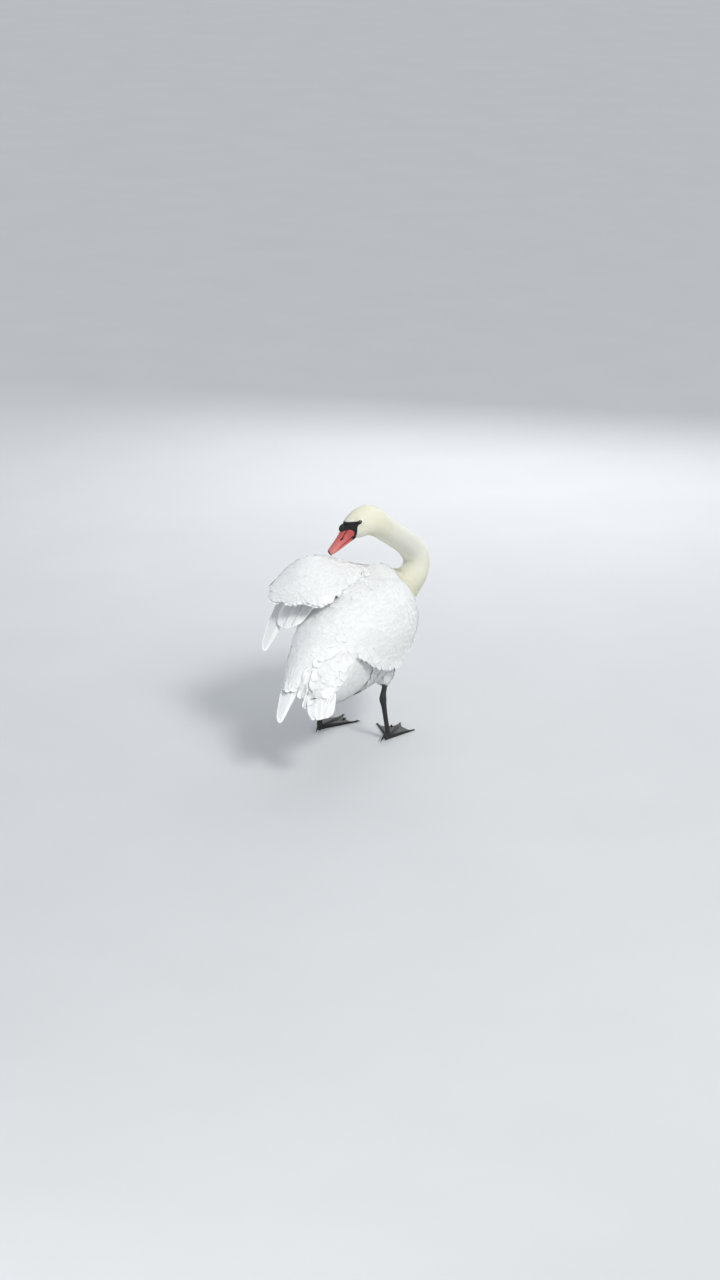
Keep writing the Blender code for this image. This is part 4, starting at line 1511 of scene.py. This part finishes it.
def eye_ways(gaze):
    """An eye's level and upright directions across its gaze."""
    forward, top, _ = bill_ways()
    level = unit(forward - gaze * (forward @ gaze))
    upright = np.cross(gaze, level)
    upright = upright * np.sign(upright @ top)
    return np.cross(upright, gaze), upright


def eyeball(name, material):
    """One eyeball, which keeps how far each place on it is from the pupil's middle."""
    centre, radius, gaze = eye_place(name)
    level, upright = eye_ways(gaze)
    bm = bmesh.new()
    bmesh.ops.create_uvsphere(bm, u_segments=40, v_segments=28, radius=radius)
    turn = Matrix((level, upright, gaze)).transposed().to_4x4()
    bmesh.ops.transform(bm, matrix=Matrix.Translation(centre) @ turn, verts=bm.verts[:])
    ball = from_bmesh(name + "_ball", bm, material, "eye", name)
    away = mesh_arrays(ball.data)[0] - centre
    off_centre = np.linalg.norm(away - (away @ gaze)[:, None] * gaze, axis=1) / radius
    store(ball.data, "from_pupil", off_centre + (away @ gaze < 0))


def lids(name, material):
    """The two lids that close round an eye, as one ring."""
    centre, radius, gaze = eye_place(name)
    level, upright = eye_ways(gaze)
    bm = bmesh.new()
    loops = []
    for spread, shell in LID_RINGS:
        ring = []
        for k in range(LID_SIDES):
            angle = 2 * math.pi * k / LID_SIDES
            x, y = math.cos(angle) * spread, math.sin(angle) * spread * LID_NARROW
            depth = math.sqrt(max(shell**2 - x * x - y * y, 0.0))
            ring.append(centre + (level * x + upright * y + gaze * depth) * radius)
        loops.append(ring_edges(bm, ring))
    for before, after in zip(loops, loops[1:] + loops[:1]):
        bmesh.ops.bridge_loops(bm, edges=before + after)
    from_bmesh(name + "_lids", bm, material, "black_skin")


class SWAN_OT_eyes(bpy.types.Operator):
    """Eyes with their lids"""

    bl_idname = "swan.eyes"
    bl_label = "Eyes"

    def execute(self, context):
        wet = eye_material()
        lid_skin = black_skin_material(context.scene.swan_colours, "lid_skin", 1600, 0.60, 0.012, 0.3)
        for name in EYES:
            eyeball(name, wet)
            lids(name, lid_skin)
        return {"FINISHED"}


# ---------------------------------------------------------------- legs

JOINT_HEIGHT = 0.0155  # of the joint between the shank and the toes
JOINT_WIDER = 1.12  # than the shank's end
LEG_GRAIN = 0.0011  # size of the legs' faces
SOLE = 0.0012  # height below which the feet stay flat
RINGS_APART = 0.0042  # the shank's scales lie in rings
RINGED = (0.02, 0.125)  # heights between which they do
RING_HEIGHT = 0.00025
CLAW_LENGTH = 0.013
CLAW_ROOT = 0.006  # how much of a claw's length lies inside the toe
CLAW_RADIUS = 0.0023


def leg(side, material):
    """One leg's bare skin: shank, webbed foot and hind toe in one surface."""
    names = ("shank_" + side, "hind_toe_" + side, "foot_" + side)
    bm = bmesh.new()
    for name in names:
        bm.from_mesh(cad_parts[name].data)
    shank = points_of(names[0])
    end = shank[shank[:, 2] < shank[:, 2].min() + 0.001]
    middle = end.mean(0)
    radius = np.linalg.norm(end[:, :2] - middle[:2], axis=1).max() * JOINT_WIDER
    shape = Matrix.Diagonal((radius, radius, JOINT_HEIGHT / 2, 1))
    place = Matrix.Translation((middle[0], middle[1], JOINT_HEIGHT / 2 + 0.0004))
    bmesh.ops.create_uvsphere(bm, u_segments=32, v_segments=16, radius=1, matrix=place @ shape)
    bmesh.ops.remove_doubles(bm, verts=bm.verts[:], dist=WELD)
    mesh = bpy.data.meshes.new("leg_" + side)
    bm.to_mesh(mesh)
    bm.free()
    made = bpy.data.objects.new("leg_" + side, mesh)
    bpy.context.scene.collection.objects.link(made)
    fuse(made, LEG_GRAIN)
    mesh = made.data
    points, normals, edges = mesh_arrays(mesh)
    height = points[:, 2]
    smooth = averaged(points, edges, 3)
    smooth[:, 2] = np.where(height < SOLE, height, smooth[:, 2])
    rings = np.sin(height / RINGS_APART * 2 * math.pi) * (height > RINGED[0]) * (height < RINGED[1])
    smooth += normals * (rings * RING_HEIGHT)[:, None]
    mesh.vertices.foreach_set("co", smooth.ravel())
    mesh.update()
    mesh.shade_smooth()
    mesh.materials.append(material)
    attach(made, "root")
    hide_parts(*names)


def toe_tips(side):
    """Where the three front toes end, and the direction each one points in."""
    foot = points_of("foot_" + side)
    low = foot[foot[:, 2] < 0.001]
    heel = low[low[:, 1].argmax()]
    reach = np.linalg.norm(low - heel, axis=1)
    tips = []
    for _ in range(3):
        best = int(reach.argmax())
        tips.append((low[best], unit(low[best] - heel)))
        reach[np.linalg.norm(low - low[best], axis=1) < 0.022] = 0
    return tips


def claws(side, material):
    """Short curved claws at the ends of the toes."""
    bm = bmesh.new()
    hind = points_of("hind_toe_" + side)
    hind_tip = hind[hind[:, 2].argmin()]
    tips = toe_tips(side) + [(hind_tip, unit(hind_tip - hind[hind[:, 2].argmax()]))]
    for place, way in tips:
        way = Vector(way)
        size = 0.6 if place[2] > 0.002 else 1.0
        base = Vector(place) - way * CLAW_ROOT * size + Vector((0, 0, 0.0030 * size))
        loops = []
        for i in range(7):
            share = i / 6
            curve = 0.0012 * math.sin(math.pi * share) - 0.0024 * share**2
            centre = base + way * CLAW_LENGTH * size * share + Vector((0, 0, curve * size))
            radius = CLAW_RADIUS * size * (1 - share) ** 0.6 + 0.00025
            made = bmesh.ops.create_circle(bm, segments=12, radius=radius)["verts"]
            spin = way.to_track_quat("Z", "Y").to_matrix().to_4x4()
            bmesh.ops.transform(bm, matrix=Matrix.Translation(centre) @ spin, verts=made)
            members = set(made)
            loops.append([edge for edge in bm.edges if edge.verts[0] in members and edge.verts[1] in members])
        for before, after in zip(loops, loops[1:]):
            bmesh.ops.bridge_loops(bm, edges=before + after)
        bmesh.ops.holes_fill(bm, edges=loops[0] + loops[-1], sides=12)
    for vert in bm.verts:
        vert.co.z = max(vert.co.z, 0.0001)
    from_bmesh("claws_" + side, bm, material, "black_skin")


class SWAN_OT_legs(bpy.types.Operator):
    """Bare black legs, webbed feet and claws"""

    bl_idname = "swan.legs"
    bl_label = "Legs"

    def execute(self, context):
        colours = context.scene.swan_colours
        skin = black_skin_material(colours, "leg_skin", 420, 0.48)
        horn_black = black_skin_material(colours, "claw_horn", 2500, 0.30)
        for side in ("left", "right"):
            leg(side, skin)
            claws(side, horn_black)
        return {"FINISHED"}


# ---------------------------------------------------------------- stage

FLOOR_HALF = 30
LIT_PLACE = (0, 0, 0.3)  # what the soft lights look at
SKY_COLOUR = (0.68, 0.72, 0.77, 1)
SKY_STRENGTH = 0.92
CAMERA_PLACE = (-2.8572, 6.6038, 2.6187)
CAMERA_LOOK = (18.12, 203.0)  # degrees down, and round from looking along +Y
CAMERA_LENS = 81.56
CAMERA_SENSOR = 36


def floor_material(colour):
    """Plain matt floor with the faintest unevenness."""
    material, tree, shader = principled("floor")
    link(tree, grain(tree, 3, colour, 0.97)["Colour"], shader.inputs["Base Color"])
    shader.inputs["Roughness"].default_value = 0.9
    return material


def sun_light(name, way, strength, spread, colour):
    """An even light that falls in one direction from a wide patch of sky, spread in degrees."""
    data = bpy.data.lights.new(name, "SUN")
    data.energy = strength
    data.angle = math.radians(spread)
    data.color = colour
    made = bpy.data.objects.new(name, data)
    made.rotation_euler = Vector(way).to_track_quat("-Z", "Y").to_euler()
    bpy.context.scene.collection.objects.link(made)


def area_light(name, place, size, power, colour):
    """A soft square light that looks at the bird."""
    data = bpy.data.lights.new(name, "AREA")
    data.size = size
    data.energy = power
    data.color = colour
    made = bpy.data.objects.new(name, data)
    made.location = place
    made.rotation_euler = (Vector(LIT_PLACE) - Vector(place)).to_track_quat("-Z", "Y").to_euler()
    bpy.context.scene.collection.objects.link(made)


class SWAN_OT_stage(bpy.types.Operator):
    """Floor, lights and camera"""

    bl_idname = "swan.stage"
    bl_label = "Stage"

    def execute(self, context):
        bm = bmesh.new()
        bmesh.ops.create_grid(bm, x_segments=1, y_segments=1, size=FLOOR_HALF)
        mesh = bpy.data.meshes.new("floor")
        bm.to_mesh(mesh)
        bm.free()
        mesh.materials.append(floor_material(context.scene.swan_colours.floor))
        ground = bpy.data.objects.new("floor", mesh)
        context.scene.collection.objects.link(ground)
        area_light("key", (-2.6, 1.6, 2.9), 1.6, 52, (1.0, 0.98, 0.94))
        sun_light("sun", (2.4, -1.4, -2.8), 1.40, 14, (1.0, 0.985, 0.95))
        area_light("front", (0.5, -2.8, 1.8), 2.4, 45, (1.0, 1.0, 1.0))
        area_light("low", (-0.6, 3.2, 0.7), 2.0, 14, (1.0, 0.99, 0.96))
        world = bpy.data.worlds.new("studio")
        context.scene.world = world
        world.use_nodes = True
        world.node_tree.nodes["Background"].inputs["Color"].default_value = SKY_COLOUR
        world.node_tree.nodes["Background"].inputs["Strength"].default_value = SKY_STRENGTH
        lens = bpy.data.cameras.new("camera")
        lens.lens = CAMERA_LENS
        lens.sensor_width = CAMERA_SENSOR
        camera = bpy.data.objects.new("camera", lens)
        camera.location = CAMERA_PLACE
        pitch, heading = (math.radians(angle) for angle in CAMERA_LOOK)
        camera.rotation_euler = (math.pi / 2 - pitch, 0, heading)
        context.scene.collection.objects.link(camera)
        context.scene.camera = camera
        context.scene.view_settings.view_transform = "Standard"
        return {"FINISHED"}


class SWAN_PT_panel(bpy.types.Panel):
    bl_label = "Swan"
    bl_idname = "SWAN_PT_panel"
    bl_space_type = "VIEW_3D"
    bl_region_type = "UI"
    bl_category = "Swan"

    def draw(self, context):
        for group in (context.scene.swan_skin, context.scene.swan_plumage, context.scene.swan_colours):
            for name in group.__annotations__:
                self.layout.prop(group, name)
        for operator in OPERATORS:
            self.layout.operator(operator.bl_idname)


OPERATORS = (
    SWAN_OT_skin, SWAN_OT_head_feathers, SWAN_OT_neck_feathers, SWAN_OT_body_feathers, SWAN_OT_tail_coverts,
    SWAN_OT_wing_feathers, SWAN_OT_flight_feathers, SWAN_OT_tail_feathers, SWAN_OT_bill, SWAN_OT_eyes,
    SWAN_OT_legs, SWAN_OT_stage,
)
GROUPS = {"swan_skin": SwanSkin, "swan_plumage": SwanPlumage, "swan_colours": SwanColours}


def register():
    for group in GROUPS.values():
        bpy.utils.register_class(group)
    for name, group in GROUPS.items():
        setattr(bpy.types.Scene, name, PointerProperty(type=group))
    for operator in OPERATORS:
        bpy.utils.register_class(operator)
    bpy.utils.register_class(SWAN_PT_panel)


def unregister():
    bpy.utils.unregister_class(SWAN_PT_panel)
    for operator in reversed(OPERATORS):
        bpy.utils.unregister_class(operator)
    for name in GROUPS:
        delattr(bpy.types.Scene, name)
    for group in GROUPS.values():
        bpy.utils.unregister_class(group)


def main():
    register()
    bpy.ops.swan.skin()
    bpy.ops.swan.head_feathers()
    bpy.ops.swan.neck_feathers()
    bpy.ops.swan.body_feathers()
    bpy.ops.swan.tail_coverts()
    bpy.ops.swan.wing_feathers()
    bpy.ops.swan.flight_feathers()
    bpy.ops.swan.tail_feathers()
    bpy.ops.swan.bill()
    bpy.ops.swan.eyes()
    bpy.ops.swan.legs()
    bpy.ops.swan.stage()


if __name__ == "__main__":
    main()
